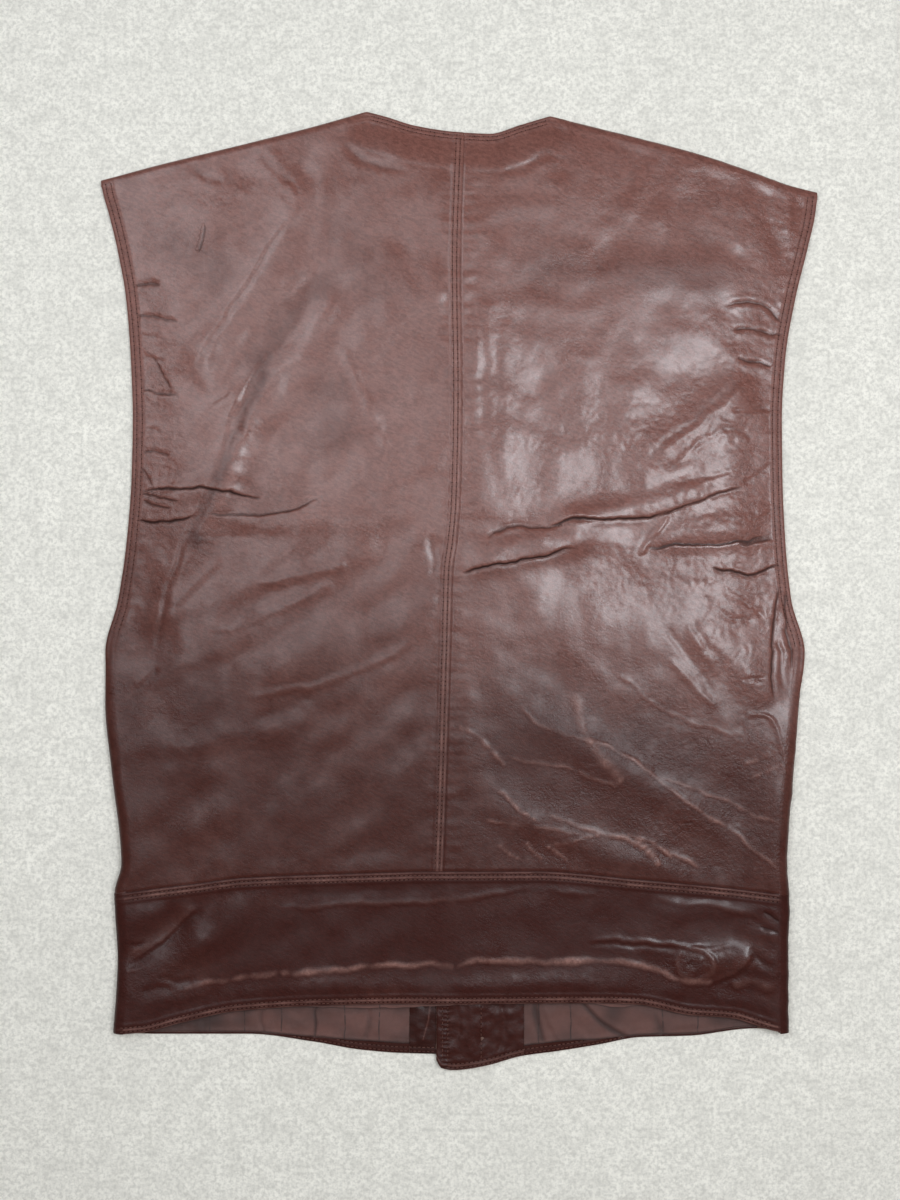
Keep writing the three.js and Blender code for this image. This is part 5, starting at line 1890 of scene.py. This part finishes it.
def leather(name, grain, colours, gloss, wear, shine):
    """Dyed and finished leather, with its raw flesh side behind."""
    material, tree, shader = new_material(name)
    skin = add(tree, "ShaderNodeGroup", node_tree=grain)
    for label, colour in zip(("Base", "Paled", "Dark", "Worn"), colours):
        skin.inputs[label].default_value = rgba(colour)
    skin.inputs["Gloss"].default_value = gloss
    skin.inputs["Wear"].default_value = wear
    for label in PAINTED:
        painted = add(tree, "ShaderNodeAttribute", attribute_name=label.lower())
        tree.links.new(painted.outputs["Fac"], skin.inputs[label])
    turned_away = add(tree, "ShaderNodeNewGeometry").outputs["Backfacing"]
    colour = blend(tree, turned_away, skin.outputs["Color"], rgba(FLESH_SIDE))
    tree.links.new(colour, shader.inputs["Base Color"])
    rough = ramp(tree, turned_away, 0.0, 1.0, 0.0, 0.5)
    tree.links.new(sum_of(tree, skin.outputs["Roughness"], rough), shader.inputs["Roughness"])
    tree.links.new(bump(tree, skin.outputs["Height"], GRAIN_DEPTH), shader.inputs["Normal"])
    tree.links.new(skin.outputs["Coat"], shader.inputs["Coat Weight"])
    shader.inputs["Coat Roughness"].default_value = COAT_ROUGHNESS
    shader.inputs["Specular IOR Level"].default_value = shine
    return material


def flesh_side():
    """The napped inner face of the leather."""
    material, tree, shader = new_material("leather_flesh_side")
    at = on_object(tree)
    nap = noise(tree, at, 900.0, 4.0, 0.7)
    broad = noise(tree, at, 30.0, 3.0)
    browner = mix_of(FLESH_SIDE, BROWN, 0.5)
    colour = blend(tree, ramp(tree, broad, 0.35, 0.65), rgba(FLESH_SIDE), rgba(browner))
    colour = blend(tree, ramp(tree, nap, 0.4, 0.7, 0.0, 0.5), colour, rgba(BROWN_DARK))
    tree.links.new(colour, shader.inputs["Base Color"])
    tree.links.new(bump(tree, nap, 0.0003), shader.inputs["Normal"])
    shader.inputs["Roughness"].default_value = 0.9
    shader.inputs["Sheen Weight"].default_value = 0.2
    return material


def mix_of(a, b, share):
    return tuple(mix(x, y, share) for x, y in zip(a, b))


def lining_cloth():
    """Satin lining with thin broken pinstripes woven in."""
    material, tree, shader = new_material("striped_lining")
    at = on_object(tree)
    split = add(tree, "ShaderNodeSeparateXYZ", {0: at}).outputs
    weave = times(tree, waves(tree, at, 420.0, 1.5, "X"), waves(tree, at, 520.0, 1.5, "Y"))
    slub = noise(tree, at, 260.0, 4.0, 0.7)
    broad = noise(tree, at, 40.0, 3.0)
    dull = mix_of(LINING_ROSE, LINING_STRIPE_AND_SHADE, 0.45)
    colour = blend(tree, ramp(tree, broad, 0.4, 0.68, 0.0, 0.7), rgba(LINING_ROSE), rgba(dull))
    colour = blend(tree, ramp(tree, slub, 0.42, 0.7, 0.0, 0.5), colour, rgba(dull))
    broken = ramp(tree, noise(tree, at, 330.0, 2.0), 0.34, 0.5, 0.25, 1.0)
    waver = ramp(tree, noise(tree, at, 90.0, 1.0), 0.2, 0.8, -0.0006, 0.0006)
    marks = None
    for x, low, high in STRIPES:
        off = away_from(tree, sum_of(tree, split["X"], waver), x * MM)
        line = ramp(tree, off, 0.0002, 0.00065, 1.0, 0.0)
        above = sum_of(tree, split["Y"], low * MM, "GREATER_THAN")
        line = times(tree, line, above)
        line = times(tree, line, sum_of(tree, split["Y"], high * MM, "LESS_THAN"))
        marks = line if marks is None else sum_of(tree, marks, line, "MAXIMUM")
    colour = blend(tree, times(tree, marks, broken), colour, rgba(LINING_STRIPE_AND_SHADE))
    # Painted shade on the lining, in the stripes' dark colour.
    deep = add(tree, "ShaderNodeAttribute", attribute_name="deep").outputs["Fac"]
    colour = blend(tree, times(tree, deep, 0.85), colour, rgba(LINING_STRIPE_AND_SHADE))
    tree.links.new(colour, shader.inputs["Base Color"])
    height = sum_of(tree, weave, times(tree, slub, 0.6))
    tree.links.new(bump(tree, height, 0.00012, 0.8), shader.inputs["Normal"])
    shader.inputs["Roughness"].default_value = 0.62
    shader.inputs["Sheen Weight"].default_value = 0.15
    return material


def thread():
    """Waxed sewing thread, twisted, a little lighter than the leather."""
    material, tree, shader = new_material("brown_thread")
    at = on_object(tree)
    twist = waves(tree, at, 900.0, 2.0, "DIAGONAL")
    shade = noise(tree, at, 150.0, 3.0)
    colour = blend(tree, ramp(tree, shade, 0.35, 0.7), rgba(THREAD), rgba(mix_of(THREAD, BROWN_DARK, 0.6)))
    colour = blend(tree, ramp(tree, twist, 0.0, 0.6, 0.4, 0.0), colour, rgba(BROWN_DARK))
    tree.links.new(colour, shader.inputs["Base Color"])
    tree.links.new(bump(tree, twist, 0.0001), shader.inputs["Normal"])
    shader.inputs["Roughness"].default_value = 0.6
    shader.inputs["Specular IOR Level"].default_value = 0.3
    return material


def needle_hole_shade():
    """Dark discs in the needle's holes: painted shade where the thread goes in."""
    material, tree, shader = new_material("needle_hole_shade")
    at = on_object(tree)
    shade = noise(tree, at, 300.0, 2.0)
    colour = blend(tree, ramp(tree, shade, 0.3, 0.7), rgba(BROWN_DARK), rgba(mix_of(BROWN_DARK, BROWN, 0.3)))
    tree.links.new(colour, shader.inputs["Base Color"])
    shader.inputs["Roughness"].default_value = 0.9
    shader.inputs["Specular IOR Level"].default_value = 0.1
    return material


def pale_floor():
    """A plain pale board, softly mottled."""
    material, tree, shader = new_material("pale_floor")
    at = on_object(tree)
    broad = noise(tree, at, 9.0, 3.0, 0.6)
    fine = noise(tree, at, 80.0, 6.0, 0.75)
    speckle = noise(tree, at, 330.0, 3.0, 0.7)
    darker = tuple(0.62 * c for c in FLOOR_PALE)
    colour = blend(tree, ramp(tree, broad, 0.35, 0.68, 0.0, 0.16), rgba(FLOOR_PALE), rgba(darker))
    colour = blend(tree, ramp(tree, fine, 0.42, 0.64, 0.0, 0.5), colour, rgba(darker))
    colour = blend(tree, ramp(tree, speckle, 0.42, 0.64, 0.0, 0.75), colour, rgba(darker))
    tree.links.new(colour, shader.inputs["Base Color"])
    tree.links.new(bump(tree, fine, 0.0004, 0.3), shader.inputs["Normal"])
    shader.inputs["Roughness"].default_value = 0.75
    return material


def floor():
    half = FLOOR_SIZE / 2
    mesh = bpy.data.meshes.new("floor")
    corners = [(-half, -half, FLOOR_Z), (half, -half, FLOOR_Z), (half, half, FLOOR_Z), (-half, half, FLOOR_Z)]
    mesh.from_pydata(corners, [], [(0, 1, 2, 3)])
    mesh.materials.append(pale_floor())
    made = bpy.data.objects.new("floor", mesh)
    bpy.context.scene.collection.objects.link(made)


def soft_light(name, at, aim, width, length, watts, colour):
    """A large studio light that looks from one place to another."""
    data = bpy.data.lights.new(name, "AREA")
    data.color = colour
    data.shape = "RECTANGLE"
    data.size, data.size_y = width, length
    data.energy = watts
    made = bpy.data.objects.new(name, data)
    bpy.context.scene.collection.objects.link(made)
    made.location = at
    made.rotation_euler = (Vector(aim) - Vector(at)).to_track_quat("-Z", "Y").to_euler()
    return made


def studio():
    floor()
    world = bpy.data.worlds.new("studio")
    world.use_nodes = True
    world.node_tree.nodes["Background"].inputs["Color"].default_value = rgba(SKY)
    world.node_tree.nodes["Background"].inputs["Strength"].default_value = SKY_STRENGTH
    bpy.context.scene.world = world
    bpy.context.scene.view_settings.view_transform = "Standard"
    for *lamp, in_gloss in LIGHTS:
        soft_light(*lamp).visible_glossy = in_gloss
    camera = bpy.data.cameras.new("camera")
    camera.lens = LENS_MM
    holder = bpy.data.objects.new("camera", camera)
    bpy.context.scene.collection.objects.link(holder)
    holder.location = (VIEW_CENTRE[0] * MM, VIEW_CENTRE[1] * MM, CAMERA_HEIGHT)
    bpy.context.scene.camera = holder


def cut(part, piece, *on_it):
    """Does nothing with a part's name, a piece and what is on it."""


grain = leather_grain_group()
hides = {name: leather(f"{name}_leather", grain, *looks) for name, looks in HIDES.items()}
inner_face = flesh_side()
lining = lining_cloth()
sewn = (thread(), needle_hole_shade())
back_sewing = back_stitching(sewn)
for side in SIDES:
    panel = front_panel(side, hides["vest"], inner_face)
    cut(f"front_{side}", panel, front_stitching(side, "panel", sewn))
    band = front_band(side, hides["band"], inner_face)
    hem_turn = inside_strip(side, "hem", hides["facing"])
    band_sewing = front_stitching(side, "band", sewn), inside_stitching(side, sewn)
    cut(f"front_band_{side}", band, hem_turn, *band_sewing)
    cut(f"facing_{side}", facing(side, hides["facing"]))
    cut(f"lining_{side}", inside_strip(side, "lining", lining))
    cut(f"back_{side}", back_half(side, hides["vest"]), back_sewing[side])
cut("lining_back", back_lining(lining))
cut("back_band", back_band(hides["band"]), back_sewing["band"])
studio()
